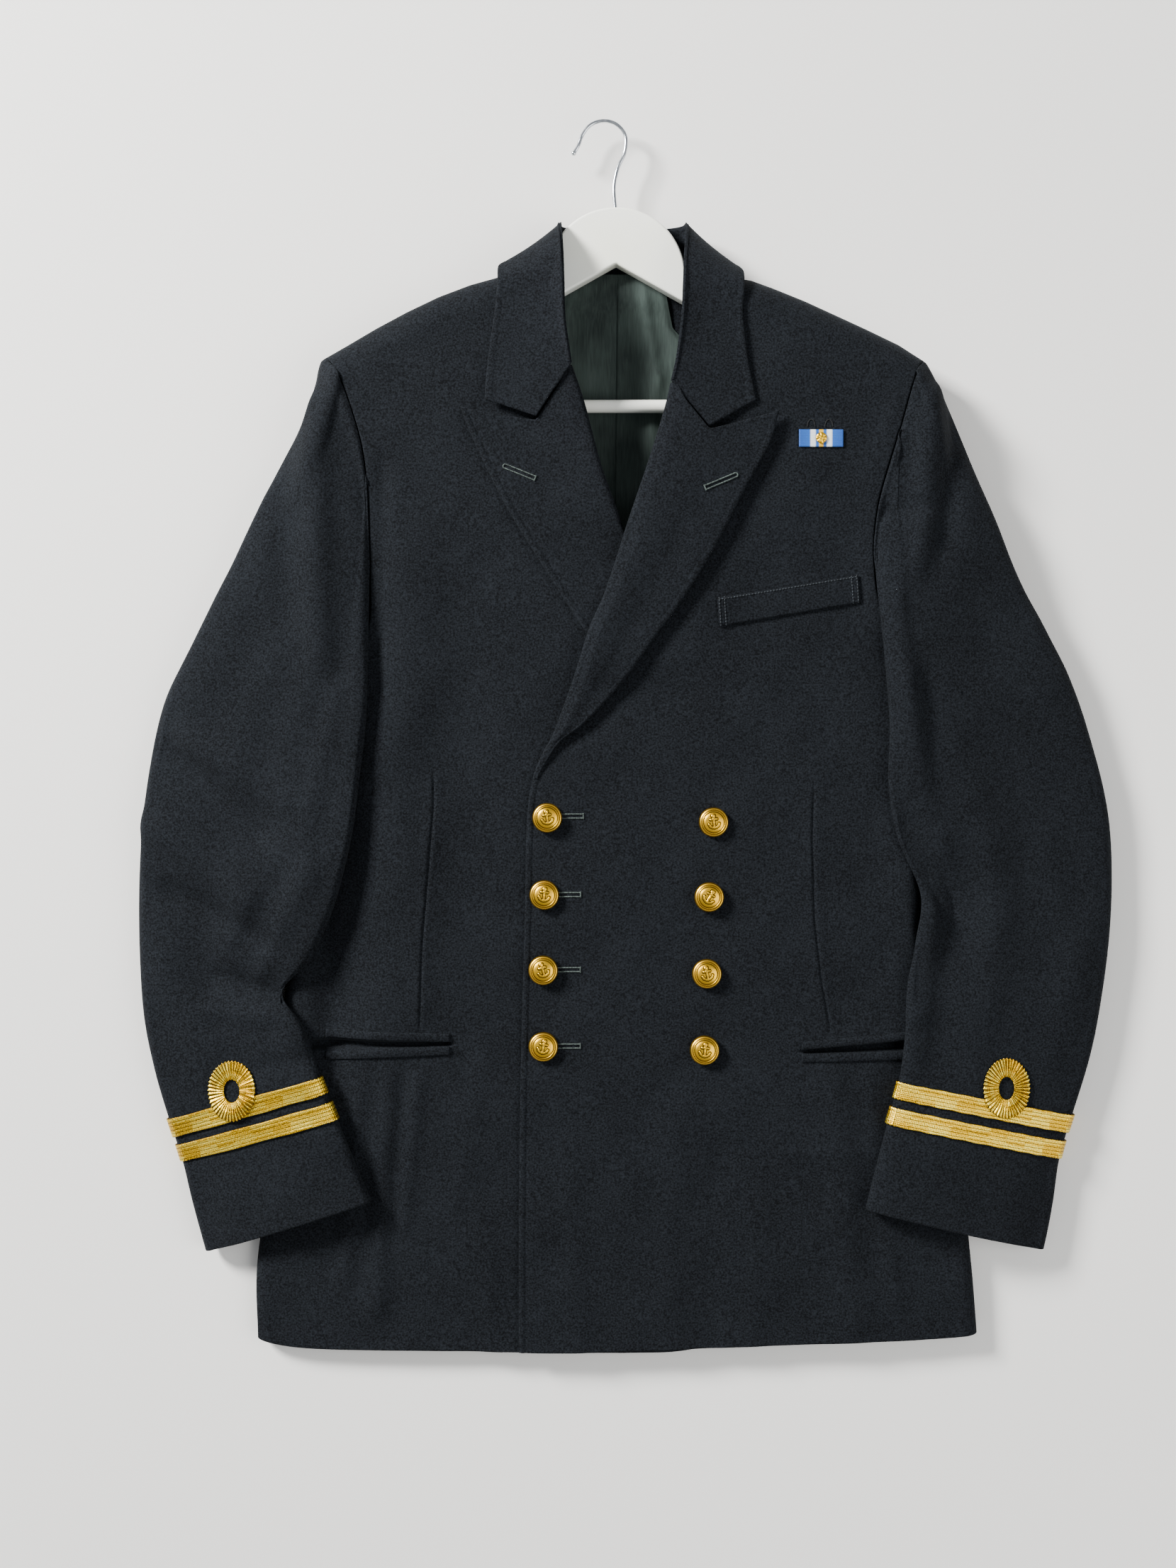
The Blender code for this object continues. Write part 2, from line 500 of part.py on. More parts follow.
def sleeve_section(side, row, fold, pit, count, lift):
    """One closed section of a flattened sleeve, from its outer edge over the top to its inner fold
    and back underneath."""
    arm = ARM[side]
    outer = np.array([column(arm, "outer_x", row), column(arm, "outer_y", row)])
    inner = np.array([column(arm, "inner_x", row), column(arm, "inner_y", row)])
    under = np.array([column(arm, "under_x", row), column(arm, "under_y", row)])
    heights = [column(arm, name, row) for name in ("high_out", "high_mid", "high_in")]
    width = np.linalg.norm(inner - outer)
    way = (inner - outer) / width
    base_in = float(body_base(inner[0], inner[1], side, lift))
    base_out = lift
    radius_out = (heights[0] - base_out) / 2
    radius_in = max((heights[2] - base_in) / 2, LEAST_FOLD)
    turn = np.radians([0, 30, 60, 90])
    spot = np.zeros((count, 3))

    def place(index, distance, z):
        spot[index % count, :2] = outer + way * distance
        spot[index % count, 2] = z

    for step, angle in enumerate(turn):
        rise = math.sin(angle)
        place(step, radius_out * (1 - math.cos(angle)), base_out + radius_out * (1 + rise))
        place(count - step, radius_out * (1 - math.cos(angle)), base_out + radius_out * (1 - rise))
        place(fold - step, width - radius_in * (1 - math.cos(angle)), base_in + radius_in * (1 + rise))
        place(fold + step, width - radius_in * (1 - math.cos(angle)), base_in + radius_in * (1 - rise))
    first, last = 3, fold - 3
    for index in range(first, last + 1):
        part = (index - first) / (last - first)
        distance = radius_out + (width - radius_in - radius_out) * part
        bend = 4 * part * (1 - part)
        high = heights[0] + (base_in + 2 * radius_in - heights[0]) * part
        middle = (heights[0] + base_in + 2 * radius_in) / 2
        place(index, distance, high + bend * (heights[1] - middle))
    inner_under = inner - way * radius_in
    outer_under = outer + way * radius_out
    for index in range(fold + 3, pit + 1):
        part = (index - fold - 3) / (pit - fold - 3)
        spot[index, :2] = inner_under + (under - inner_under) * part
    for index in range(pit, count - 2):
        part = (index - pit) / (count - 3 - pit)
        spot[index, :2] = under + (outer_under - under) * part
    low = slice(fold + 3, count - 2)
    spot[low, 2] = body_base(spot[low, 0], spot[low, 1], side, lift)
    top = np.arange(1, fold)
    share = np.clip(np.minimum(top, fold - top) / 4, 0, 1)
    spot[top, 2] += share * folds_height(spot[top, 0], spot[top, 1], SLEEVE_FOLDS[side])
    return spot


def armhole_ring(side, front, front_in, back, back_in):
    """The sleeve's first ring, outside the armhole of front and back, and its inner points."""
    pit = len(ARMHOLE_ROWS[side]) - 1
    way = np.array([1.0, 0, 0]) * (1 if side == "left" else -1)
    upper = front[:pit + 1, -1] + way * ARMHOLE_GAP
    upper_in = front_in[:pit + 1, -1] + way * ARMHOLE_GAP
    turned = np.arange(pit + 1) > FOLD_ROW
    lift = normals(front, (0, 0, 1))[:pit + 1, -1]
    to_pit = np.clip(np.arange(pit + 1) - pit + 2, 0, 2)[:, None]
    upper[turned] += (LAYER_GAP * (1 + to_pit) * lift)[turned]
    upper_in[turned] = upper[turned] + WALL * lift[turned]
    lower = back[1:pit, -1][::-1] + way * ARMHOLE_GAP
    lower_in = back_in[1:pit, -1][::-1] + way * ARMHOLE_GAP
    return np.concatenate([upper, lower]), np.concatenate([upper_in, lower_in])


def sleeve_grid(side, ring):
    """Outer points of a whole sleeve: a ring for each section, the first along the armhole."""
    pit = len(ARMHOLE_ROWS[side]) - 1
    count = 2 * pit
    sections = []
    for row in range(len(ARM[side]["outer_x"])):
        lift = CUFF_LIFT * smooth((row - LIFT_ROW) / 3)
        sections.append(sleeve_section(side, row, FOLD_ROW, pit, count, lift))
    sections = np.array(sections)
    bow = ring[:, :2] - sections[0, :, :2]
    over = slice(FOLD_ROW + 1, pit + 1)
    pit_lift = PIT_LIFT * np.clip(np.arange(-2, pit - FOLD_ROW - 2) / (pit - FOLD_ROW - 3), 0, 1)
    low = slice(FOLD_ROW + 3, count - 2)
    for row, (weight, under) in enumerate(zip(HEAD_FADE, UNDER_FADE)):
        fade = np.where(np.arange(count) > pit, under, weight)
        here = sections[row]
        here[:, :2] += fade[:, None] * bow
        here[low, 2] = body_base(here[low, 0], here[low, 1], side, 0.0)
        least = body_base(here[over, 0], here[over, 1], side, 0.0) + pit_lift
        here[:, 2] += fade * (ring[:, 2] - here[:, 2])
        here[over, 2] = np.maximum(here[over, 2], least)
    sections[0] = ring
    return sections


def split_sleeve(side, grid, inner, paint):
    """Topsleeve over both edges, and undersleeve between the two seams beneath."""
    count = grid.shape[1]
    seam_in, seam_out = FOLD_ROW + 4, count - 2
    top = np.r_[seam_out:count, 0:seam_in + 1]
    low = np.arange(seam_in, seam_out + 1)
    for name, columns in (("topsleeve", top), ("undersleeve", low)):
        outer_part, inner_part = grid[:, columns].copy(), inner[:, columns].copy()
        for edge, beside in ((0, 1), (-1, -2)):
            run = outer_part[:, beside] - outer_part[:, edge]
            along = np.gradient(outer_part[:, edge], axis=0)
            along /= np.linalg.norm(along, axis=-1, keepdims=True)
            run -= along * np.sum(run * along, axis=-1, keepdims=True)
            run /= np.maximum(np.linalg.norm(run, axis=-1, keepdims=True), 1e-6)
            outer_part[:, edge] += run * SEAM_GAP
            inner_part[:, edge] += run * SEAM_GAP
        wall_solid(f"{name}_{side}", outer_part, inner_part, paint)


def surface(names):
    """One search tree of the named objects' faces, in metres."""
    points, faces = [], []
    for name in names:
        mesh = bpy.data.objects[name].data
        start = len(points)
        points += [v.co.copy() for v in mesh.vertices]
        faces += [tuple(i + start for i in p.vertices) for p in mesh.polygons]
    return BVHTree.FromPolygons(points, faces)


def top_of(tree, x, y, reach=0.0):
    """Highest point of a surface under each spot, or near it when reach is given, in mm."""
    x, y = np.broadcast_arrays(x, y)
    result = np.zeros(x.shape)
    steps = [(0, 0)] + [(reach * math.cos(a), reach * math.sin(a))
                        for a in np.linspace(0, 2 * math.pi, 8, endpoint=False)] * (reach > 0)
    for index in np.ndindex(x.shape):
        highest = -1e9
        for dx, dy in steps:
            start = Vector(((x[index] + dx) * MM, (y[index] + dy) * MM, 0.2))
            hit = tree.ray_cast(start, Vector((0, 0, -1)))[0]
            if hit is not None:
                highest = max(highest, hit.z / MM)
        result[index] = highest if highest > -1e8 else 0.0
    return result


def lapel_grid(side, tree):
    """Outer points of a lapel's facing: columns from the roll to the edge, rows gorge to break."""
    tab = LAPEL[side]
    last = len(tab["roll_x"]) - 1
    rows = np.linspace(0, last, 2 * last + 1)[:, None]
    across = np.array([0, 0.06, 0.16, 0.3, 0.5, 0.72, 0.88, 1.0])[None, :]
    roll_x, roll_y = column(tab, "roll_x", rows), column(tab, "roll_y", rows)
    edge_x, edge_y = column(tab, "edge_x", rows), column(tab, "edge_y", rows)
    x = roll_x + (edge_x - roll_x) * across
    y = roll_y + (edge_y - roll_y) * across
    notch = np.array(NOTCH[side])
    along = (notch[0] - roll_x[0, 0]) / (edge_x[0, 0] - roll_x[0, 0])
    straight = roll_y[0, 0] + (edge_y[0, 0] - roll_y[0, 0]) * along
    dip = np.interp(across, [0, along, 1], [0, notch[1] - straight, 0])
    y = y + dip * np.clip(1 - rows / NOTCH_ROWS, 0, 1)
    below = top_of(tree, x, y, REST_REACH)
    for _ in range(2):
        below[1:-1, 1:-1] = np.maximum(below[1:-1, 1:-1], (below[:-2, 1:-1] + below[2:, 1:-1]) / 2)
    size = np.hypot(edge_x - roll_x, edge_y - roll_y)
    from_roll = size * across
    soft = LAPEL_ROLL * np.exp(-from_roll / ROLL_REACH) * np.clip(size / LAPEL_FULL, 0.2, 1)
    if side == "right":
        soft = soft * np.clip((y - FLAT_BELOW) / LAPEL_FULL, 0, 1)
    z = below + LAYER_GAP + WALL + soft * smooth(from_roll / 3)
    return np.stack([x, y, z], axis=-1)


def collar_grid():
    """Outer points of the folded collar: sections round the neck, columns from the outer edge of
    the fall over the crease and down the stand."""
    last = len(COLLAR["edge_x"]) - 1
    rows = np.array(COLLAR_ROWS)[:, None]
    edge, roll, seam = (np.stack([column(COLLAR, f"{part}_{axis}", rows) for axis in "xyz"], axis=-1)
                        for part in ("edge", "roll", "seam"))
    fall = np.array([0, 0.3, 0.6, 0.82, 0.94])[None, :, None]
    stand = np.array([0.1, 0.5, 1.0])[None, :, None]
    fall_points = edge + (roll - edge) * np.concatenate([fall, fall, fall ** 2.5], axis=-1)
    for row, side in ((0, "right"), (-1, "left")):
        near = np.clip(1 - np.abs(rows - rows[row]) / COLLAR_END_ROWS, 0, 1)
        start, end = edge[row, 0], roll[row, 0]
        part = (NOTCH[side][0] - start[0]) / (end[0] - start[0])
        dip = NOTCH[side][1] + GORGE_GAP - (start[1] + (end[1] - start[1]) * part)
        fall_points[..., 1] += near * np.interp(fall[..., 0], [0, part, 1], [0, dip, 0])
    stand_points = roll + (seam - roll) * stand
    return np.concatenate([fall_points, roll, stand_points], axis=1)


def patch_on(name, corners, across, down, tree, wall, paint, reach=PATCH_REACH):
    """A thin piece with four corners, laid on the surface below it."""
    u = np.linspace(0, 1, across + 1)[None, :, None]
    v = np.linspace(0, 1, down + 1)[:, None, None]
    upper_left, upper_right, lower_right, lower_left = (np.array(c, float) for c in corners)
    upper = upper_left + (upper_right - upper_left) * u
    lower = lower_left + (lower_right - lower_left) * u
    flat = upper + (lower - upper) * v
    low = top_of(tree, flat[..., 0], flat[..., 1], reach) + SEAM_GAP
    outer = np.concatenate([flat, (low + wall)[..., None]], axis=-1)
    inner = np.concatenate([flat, low[..., None]], axis=-1)
    return wall_solid(name, outer, inner, paint)


def turned(name, x, y, radius, height, profile, tree, paint):
    """A round piece on the cloth, its profile turned about its upright axis."""
    low = float(top_of(tree, np.array(x), np.array(y), radius)) + SEAM_GAP
    steps = BUTTON_SIDES
    turn = np.linspace(0, 2 * math.pi, steps, endpoint=False)
    points = [(x * MM, y * MM, low * MM)]
    for r, z in zip(profile["r"][1:-1], profile["z"][1:-1]):
        for a in turn:
            points.append(((x + radius * r * math.cos(a)) * MM, (y + radius * r * math.sin(a)) * MM,
                           (low + height * z) * MM))
    points.append((x * MM, y * MM, (low + height) * MM))
    rings = len(profile["r"]) - 2
    faces = []
    for s in range(steps):
        t = (s + 1) % steps
        faces.append((0, 1 + t, 1 + s))
        for k in range(rings - 1):
            a, b = 1 + k * steps, 1 + (k + 1) * steps
            faces.append((a + s, a + t, b + t, b + s))
        top = 1 + (rings - 1) * steps
        faces.append((top + s, top + t, len(points) - 1))
    return solid(name, points, faces, paint)


def lace_ring(name, side, start, grid_at, paint):
    """A band of lace round the cuff, made from the sleeve's own sections moved out."""
    rows = np.array([start, start + LACE_STEP])
    rings = np.array([grid_at(row) for row in rows])
    normal = normals(rings, (0, 0, 1), ring=True)
    if normal[0, FOLD_ROW // 2, 2] < 0:
        normal = -normal
    wall_solid(name, rings + normal * (LACE_GAP + LACE_WALL), rings + normal * LACE_GAP, paint, ring=True)


def curl(name, side, tree, paint):
    """The oval loop of lace that stands on the upper band."""
    x0, y0 = CURL[side]
    turn = np.linspace(0, 2 * math.pi, LOOP_SIDES, endpoint=False)[None, :]
    part = np.array([0, 0.5, 1])[:, None]
    wide = CURL_SIZE["hole_wide"] + (CURL_SIZE["wide"] - CURL_SIZE["hole_wide"]) * part
    high = CURL_SIZE["hole_high"] + (CURL_SIZE["high"] - CURL_SIZE["hole_high"]) * part
    x = x0 + wide * np.cos(turn)
    y = y0 + high * np.sin(turn)
    low = top_of(tree, x, y, LOOP_REACH) + SEAM_GAP
    outer = np.stack([x, y, low + LACE_WALL], axis=-1)
    inner = np.stack([x, y, low], axis=-1)
    return wall_solid(name, outer, inner, paint, ring=True)


def board(paint):
    """The hanger's flat board: a round head, two sloping arms and a pointed notch beneath."""
    head = []
    for angle in np.radians(np.linspace(90, 0, 11)):
        head.append((BOARD_HEAD["x"] + BOARD_HEAD["radius"] * math.cos(angle),
                     BOARD_HEAD["y"] + BOARD_HEAD["radius"] * math.sin(angle)))
    half = head + [(x, y) for x, y in zip(BOARD_ARM["x"], BOARD_ARM["y"])]
    mirror = [(2 * CENTRE_X - x, y) for x, y in reversed(half[1:])]
    outline = half + [(CENTRE_X, BOARD_NOTCH)] + mirror
    edge = [0.0, BOARD_BEVEL, BOARD_THICK - BOARD_BEVEL, BOARD_THICK]
    inset = [BOARD_BEVEL, 0.0, 0.0, BOARD_BEVEL]
    outline = np.array(outline)
    run = np.roll(outline, -1, axis=0) - np.roll(outline, 1, axis=0)
    out = np.stack([run[:, 1], -run[:, 0]], axis=-1)
    out /= np.linalg.norm(out, axis=-1, keepdims=True)
    if np.dot(out[0], (0, 1)) < 0:
        out = -out
    points = []
    for z, shrink in zip(edge, inset):
        ring = outline - out * shrink
        points += [(x * MM, y * MM, (BOARD_LOW + z) * MM) for x, y in ring]
    count = len(outline)
    faces = [tuple(range(count)), tuple(range(4 * count - 1, 3 * count - 1, -1))]
    for k in range(3):
        for s in range(count):
            t = (s + 1) % count
            faces.append((k * count + s, (k + 1) * count + s, (k + 1) * count + t, k * count + t))
    return solid("hanger_board", points, faces, paint)


def rod(name, route, radius, sides, paint, ball=0.0):
    """A round rod along a route of points, closed at both ends."""
    route = np.array(route, float)
    way = np.gradient(route, axis=0)
    way /= np.linalg.norm(way, axis=1, keepdims=True)
    up = np.array([0, 0, 1.0])
    points = []
    for k, (spot, direction) in enumerate(zip(route, way)):
        side_way = np.cross(direction, up)
        size = radius * (1 + ball * (k >= len(route) - 2))
        for a in np.linspace(0, 2 * math.pi, sides, endpoint=False):
            points.append((spot + size * (math.cos(a) * side_way + math.sin(a) * up)) * MM)
    faces = [tuple(range(sides)), tuple(range(len(points) - 1, len(points) - 1 - sides, -1))]
    for k in range(len(route) - 1):
        for s in range(sides):
            t = (s + 1) % sides
            faces.append((k * sides + s, (k + 1) * sides + s, (k + 1) * sides + t, k * sides + t))
    return solid(name, points, faces, paint)


def hook_route():
    """Points along the hook's wire, from the board's top to the tip."""
    spots = np.array(HOOK)
    places = np.concatenate([[0], np.cumsum(np.linalg.norm(np.diff(spots, axis=0), axis=1))])
    at = np.linspace(0, places[-1], WIRE_STEPS)
    middle = BOARD_LOW + BOARD_THICK / 2
    return np.stack([curve(places, spots[:, 0], at), curve(places, spots[:, 1], at),
                     np.full(len(at), middle)], axis=-1)


def build_body(cloth):
    """Both fronts and both halves of the back. Returns their grids for the sleeves."""
    grids = {}
    for side in ("left", "right"):
        front = front_grid(side)
        back = back_grid(side)
        front_in = inside(front, WALL, (0, 0, 1))
        back_in = inside(back, WALL, (0, 0, -1))
        pit = len(ARMHOLE_ROWS[side]) - 1
        back_in[pit - 1, -1] = back[pit - 1, -1] + np.array([0, 0, WALL])
        for grid, inner, way in ((front, front_in, 1), (back, back_in, -1)):
            grid[0, :, 2] += way * SEAM_GAP / 2
            inner[0, :, 2] = grid[0, :, 2] if way == 1 else inner[0, :, 2] - SEAM_GAP / 2
            grid[pit:, -1, 2] += way * SEAM_GAP / 2
            inner[pit:, -1, 2] = grid[pit:, -1, 2]
        centre = SEAM_GAP / 2 * (1 if side == "left" else -1)
        back[:, 0, 0] += centre
        back_in[:, 0, 0] = back[:, 0, 0]
        wall_solid(f"front_{side}", front, front_in, cloth)
        wall_solid(f"back_{side}", back, back_in, cloth)
        grids[side] = (front, front_in, back, back_in)
    return grids


def build_sleeves(grids, cloth, gold):
    """Sleeves with their lace."""
    for side in ("left", "right"):
        ring, ring_in = armhole_ring(side, *grids[side])
        grid = sleeve_grid(side, ring)
        normal = normals(grid, (0, 0, 1), ring=True)
        if normal[grid.shape[0] // 2, FOLD_ROW // 2, 2] < 0:
            normal = -normal
        inner = grid - WALL * normal
        inner[0] = ring_in
        split_sleeve(side, grid, inner, cloth)

        def at(row, grid=grid):
            low = int(math.floor(row))
            part = row - low
            high = min(low + 1, len(grid) - 1)
            return grid[low] * (1 - part) + grid[high] * part

        for which, start in CUFF_ROWS.items():
            lace_ring(f"lace_{which}_{side}", side, start, at, gold)
        tree = surface([f"topsleeve_{side}", f"lace_upper_{side}"])
        curl(f"lace_curl_{side}", side, tree, gold)


def build_collar_and_lapels(cloth):
    """Lapel facings on the fronts, and the collar round the neck."""
    for side in ("right", "left"):
        names = ["front_right"] if side == "right" else ["front_left", "front_right", "lapel_right"]
        grid = lapel_grid(side, surface(names))
        wall_solid(f"lapel_{side}", grid, grid - np.array([0, 0, WALL]), cloth)
    grid = collar_grid()
    wall_solid("collar", grid, inside(grid, COLLAR_WALL, (0, 1, -0.2)), cloth)


def build_trimmings(cloth, gold, ribbon):
    """Breast welt, pocket jets, buttons and the medal ribbon."""
    tree = surface(["front_left", "front_right"])
    corners = [WELT[k] for k in ("upper_left", "upper_right", "lower_right", "lower_left")]
    patch_on("breast_welt", corners, 5, 1, tree, WELT_WALL, cloth)
    for k, end_x in enumerate(JETS["end_x"]):
        end_y, run_x, run_y, wide = (JETS[c][k] for c in ("end_y", "run_x", "run_y", "wide"))
        half = wide / 2
        corners = [(end_x, end_y + half), (run_x, run_y + half), (run_x, run_y - half), (end_x, end_y - half)]
        side = "left" if JETS["side"][k] > 0 else "right"
        level = "upper" if k % 2 == 0 else "lower"
        patch_on(f"pocket_jet_{level}_{side}", corners, 4, 1, tree, JET_WALL, cloth)
    for k, x in enumerate(BUTTONS["x"]):
        side = "right" if BUTTONS["column"][k] == 0 else "left"
        name = f"button_{side}_{int(BUTTONS['row'][k]) + 1}"
        turned(name, x, BUTTONS["y"][k], BUTTON_RADIUS, BUTTON_HEIGHT, BUTTON_PROFILE, tree, gold)
    half_w, half_h = RIBBON["wide"] / 2, RIBBON["high"] / 2
    x, y = RIBBON["x"], RIBBON["y"]
    upper = [(x - half_w, y + half_h), (x + half_w, y + half_h)]
    lower = [(x + half_w, y - half_h), (x - half_w, y - half_h)]
    corners = upper + lower
    patch_on("ribbon_bar", corners, 3, 1, tree, RIBBON["thick"], ribbon)
    turned("ribbon_stud", x, y, STUD_RADIUS, STUD_HEIGHT, BUTTON_PROFILE, surface(["ribbon_bar"]), gold)


def build_lining(satin):
    """The back lining where it shows in the neck."""
    rows = np.array([LINING_TOP, 330, 322, 314, 304, 280, 245, 200, 150, 100, LINING_END])[:, None]
    across = np.linspace(-1, 1, 9)[None, :]
    half = np.interp(rows, [LINING_END, 250, 300, LINING_TOP], [62, 90, 42, 34])
    x = CENTRE_X + half * across
    y = rows + 0 * across
    tree = surface(["back_left", "back_right"])
    low = top_of(tree, x, y, LINING_REACH) + SEAM_GAP
    outer = np.stack([x, y, low + LINING_WALL], axis=-1)
    wall_solid("back_lining", outer, outer - np.array([0, 0, LINING_WALL]), satin)


def main():
    """Build the jacket and its hanger."""
    clear_scene()
    cloth = material("navy_wool_doeskin", (0.012, 0.014, 0.02), 0.9)
    satin = material("lining_satin", (0.03, 0.04, 0.037), 0.5)
    gold = material("gilt_wire_lace", (0.62, 0.42, 0.08), 0.35, 1.0)
    gilt = material("gilt_brass", (0.72, 0.48, 0.12), 0.25, 1.0)
    ribbon = material("ribbon_silk", (0.05, 0.22, 0.6), 0.6)
    white = material("white_lacquered_wood", (0.84, 0.86, 0.78), 0.35)
    chrome = material("chromed_steel_wire", (0.6, 0.6, 0.62), 0.12, 1.0)
    grids = build_body(cloth)
    build_lining(satin)
    build_collar_and_lapels(cloth)
    build_sleeves(grids, cloth, gold)
    build_trimmings(cloth, gilt, ribbon)
    board(white)
    middle = BOARD_LOW + BOARD_THICK / 2
    bar = [(CENTRE_X - BAR_HALF, BAR_Y, middle), (CENTRE_X + BAR_HALF, BAR_Y, middle)]
    rod("trouser_bar", bar, BAR_RADIUS, BAR_SIDES, white)
    rod("hanger_hook", hook_route(), WIRE_RADIUS, WIRE_SIDES, chrome, TIP_SWELL)


main()
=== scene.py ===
# %% [markdown]
# # A naval officer's reefer jacket, laid flat on its hanger
# The real jacket is cut from dark navy doeskin, a heavily milled wool with a short raised nap, and it
# lies on its back with a painted wooden hanger inside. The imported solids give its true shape, and
# this lesson dresses them: fine cloth shells with rolls, darts and stitched edges, gold lace, gilt
# buttons, and a material for each. Numbers are millimetres until a mesh is made.

# %% Load the frame
import math
import bpy
import numpy as np
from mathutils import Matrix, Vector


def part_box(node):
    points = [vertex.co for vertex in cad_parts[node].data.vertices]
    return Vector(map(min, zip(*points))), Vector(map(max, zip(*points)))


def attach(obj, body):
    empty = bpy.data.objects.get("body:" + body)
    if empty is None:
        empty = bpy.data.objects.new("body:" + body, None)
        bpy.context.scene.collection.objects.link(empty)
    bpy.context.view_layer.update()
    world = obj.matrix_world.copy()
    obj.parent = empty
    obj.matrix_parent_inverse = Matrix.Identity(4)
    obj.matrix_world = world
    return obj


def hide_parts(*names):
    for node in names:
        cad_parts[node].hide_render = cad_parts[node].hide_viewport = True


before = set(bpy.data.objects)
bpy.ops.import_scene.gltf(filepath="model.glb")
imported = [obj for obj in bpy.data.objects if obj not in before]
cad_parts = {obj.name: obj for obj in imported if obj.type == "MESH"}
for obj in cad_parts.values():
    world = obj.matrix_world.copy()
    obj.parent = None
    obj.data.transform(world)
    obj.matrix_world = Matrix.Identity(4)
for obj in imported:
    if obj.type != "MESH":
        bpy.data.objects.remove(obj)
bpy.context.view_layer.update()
MM = 0.001
print("solids:", len(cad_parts))

# %% [markdown]
# ## The shape's tables
# A tailor works from a few measured sections and lets the cloth run smoothly between them. The same
# is done here: each table holds sections with named columns, and a cubic joins them. +X is the
# wearer's left, +Y runs from hem to hook and z = 0 is the surface under the jacket.

# %% Cloth and seam sizes
# Cloth and seams
WALL = 2.0
COLLAR_WALL = 1.8
LINING_WALL = 1.0
LACE_WALL = 1.0
SEAM_GAP = 0.3
ARMHOLE_GAP = 0.6
GORGE_GAP = 1.6
LACE_GAP = 0.7
LAYER_GAP = 0.5

# Body
CENTRE_X = -7.0
ARMPIT_Y = 43.0
SHOULDER_RADIUS = 22.0
SIDE_RADIUS = 11.0
OVERLAP_STEP = 3.2
LAPEL_LIFT = 3.5
SIDE_FALL = 0.10
HALF_CHEST = 240.0
NECK_LIFT = 3.2
SLEEVE_RAMP = 55.0
PIT_LIFT = 1.2

# Trimmings
BUTTON_RADIUS = 10.7
BUTTON_HEIGHT = 6.2
STUD_RADIUS = 3.9
STUD_HEIGHT = 1.2
LACE_STEP = 0.41
WELT_WALL = 1.4
JET_WALL = 1.2

# Hanger
BOARD_LOW = 9.0
BOARD_THICK = 12.0
BAR_RADIUS = 4.7
WIRE_RADIUS = 1.5


# %% Section tables
def table(columns, rows):
    """A short table as a dictionary of its named columns."""
    return dict(zip(columns.split(), np.array(rows, float).T))


# Height of the closed body under the over-front, from the hem up.
BODY = table("y crown", [
    (-460, 18), (-445, 18), (-330, 22), (-220, 26), (-120, 30),
    (0, 35), (100, 39), (180, 42), (260, 44), (360, 44)])

# Shoulder ridge, from the photo's left shoulder point to its right one.
SHOULDER = table("x y", [
    (-219.5, 271.9), (-202.4, 281.6), (-179.9, 294.7), (-157.4, 306.7), (-134.9, 317.4),
    (-112, 326), (-92, 331.5), (-75, 336), (-60.3, 341), (-45, 344), (30, 344), (47, 341.5), (62, 336),
    (78, 331), (90, 329), (105.4, 323.5), (128.4, 314.3), (150.9, 304.1), (173.3, 293.9),
    (195.8, 283.2), (216.8, 269.9)])

# Sections across each front: its front or roll edge and its armhole or side edge. Row 9 is the
# armpit. The wearer's left front, on +X, lies over the right one.
FRONT = {
    "left": table("inner_x inner_y outer_x outer_y", [
        (47, 341.5, 216.8, 269.9), (48.3, 313.6, 207.3, 250.5), (42.2, 280.7, 199.9, 233.9),
        (33, 251.6, 193, 214.5), (25, 220, 184.6, 187.5), (14, 185, 178.2, 161.6),
        (2.6, 152.4, 176.2, 131.5), (-13, 104, 180.6, 96.4), (-25, 74, 196.8, 68),
        (-36.2, 41, 230, 46.9), (-51, 4, 227.5, 10), (-67.2, -30, 225, -24),
        (-71.6, -65, 218.5, -70), (-73, -125, 213.9, -125), (-74.9, -190, 221, -190),
        (-76.4, -255, 233.5, -255), (-77.4, -320, 244.5, -320), (-77.8, -385, 252, -385),
        (-77.8, -445, 256, -433)]),
    "right": table("inner_x inner_y outer_x outer_y", [
        (-60.3, 341, -219.5, 271.9), (-56.7, 318.6, -209.5, 257), (-49.6, 290.8, -198.1, 236.4),
        (-40.6, 264.7, -189.2, 212), (-31.6, 238, -184.8, 180.4), (-20.5, 196.4, -183.5, 146.9),
        (-3.3, 148.1, -182.8, 113.3), (12, 103, -184.7, 78.7), (22, 70, -202.9, 56.4),
        (31, 40.8, -241.9, 42.8), (41, 8, -239.5, 8), (51, -24, -237, -24),
        (60.5, -70, -231.5, -70), (62.7, -125, -235, -125), (62.8, -190, -248, -190),
        (63, -255, -254.5, -255), (63.2, -320, -259.8, -320), (63.3, -385, -268.5, -385),
        (63.4, -440, -268, -437)])}
ARMPIT_ROW = 9
HEM_SAG = {"left": 2.0, "right": 7.0}

# Rows of each front's grid down its armhole. The sleeve's front fold starts at the fold row.
ARMHOLE_ROWS = {
    "left": [0, 0.12, 0.4, 0.8, 1.3, 1.9, 2.5, 3, 3.5, 4, 4.5, 5, 5.6, 6.2, 6.9, 7.6, 8.3, 9],
    "right": [0, 0.12, 0.4, 1, 1.7, 2.4, 3.1, 3.8, 4.5, 5.2, 6, 7, 7.4, 7.8, 8.2, 8.6, 9]}
FOLD_ROW = 11
LOWER_ROWS = [9.6, 10.3, 11, 12, 13, 14, 15, 16, 17, 18]

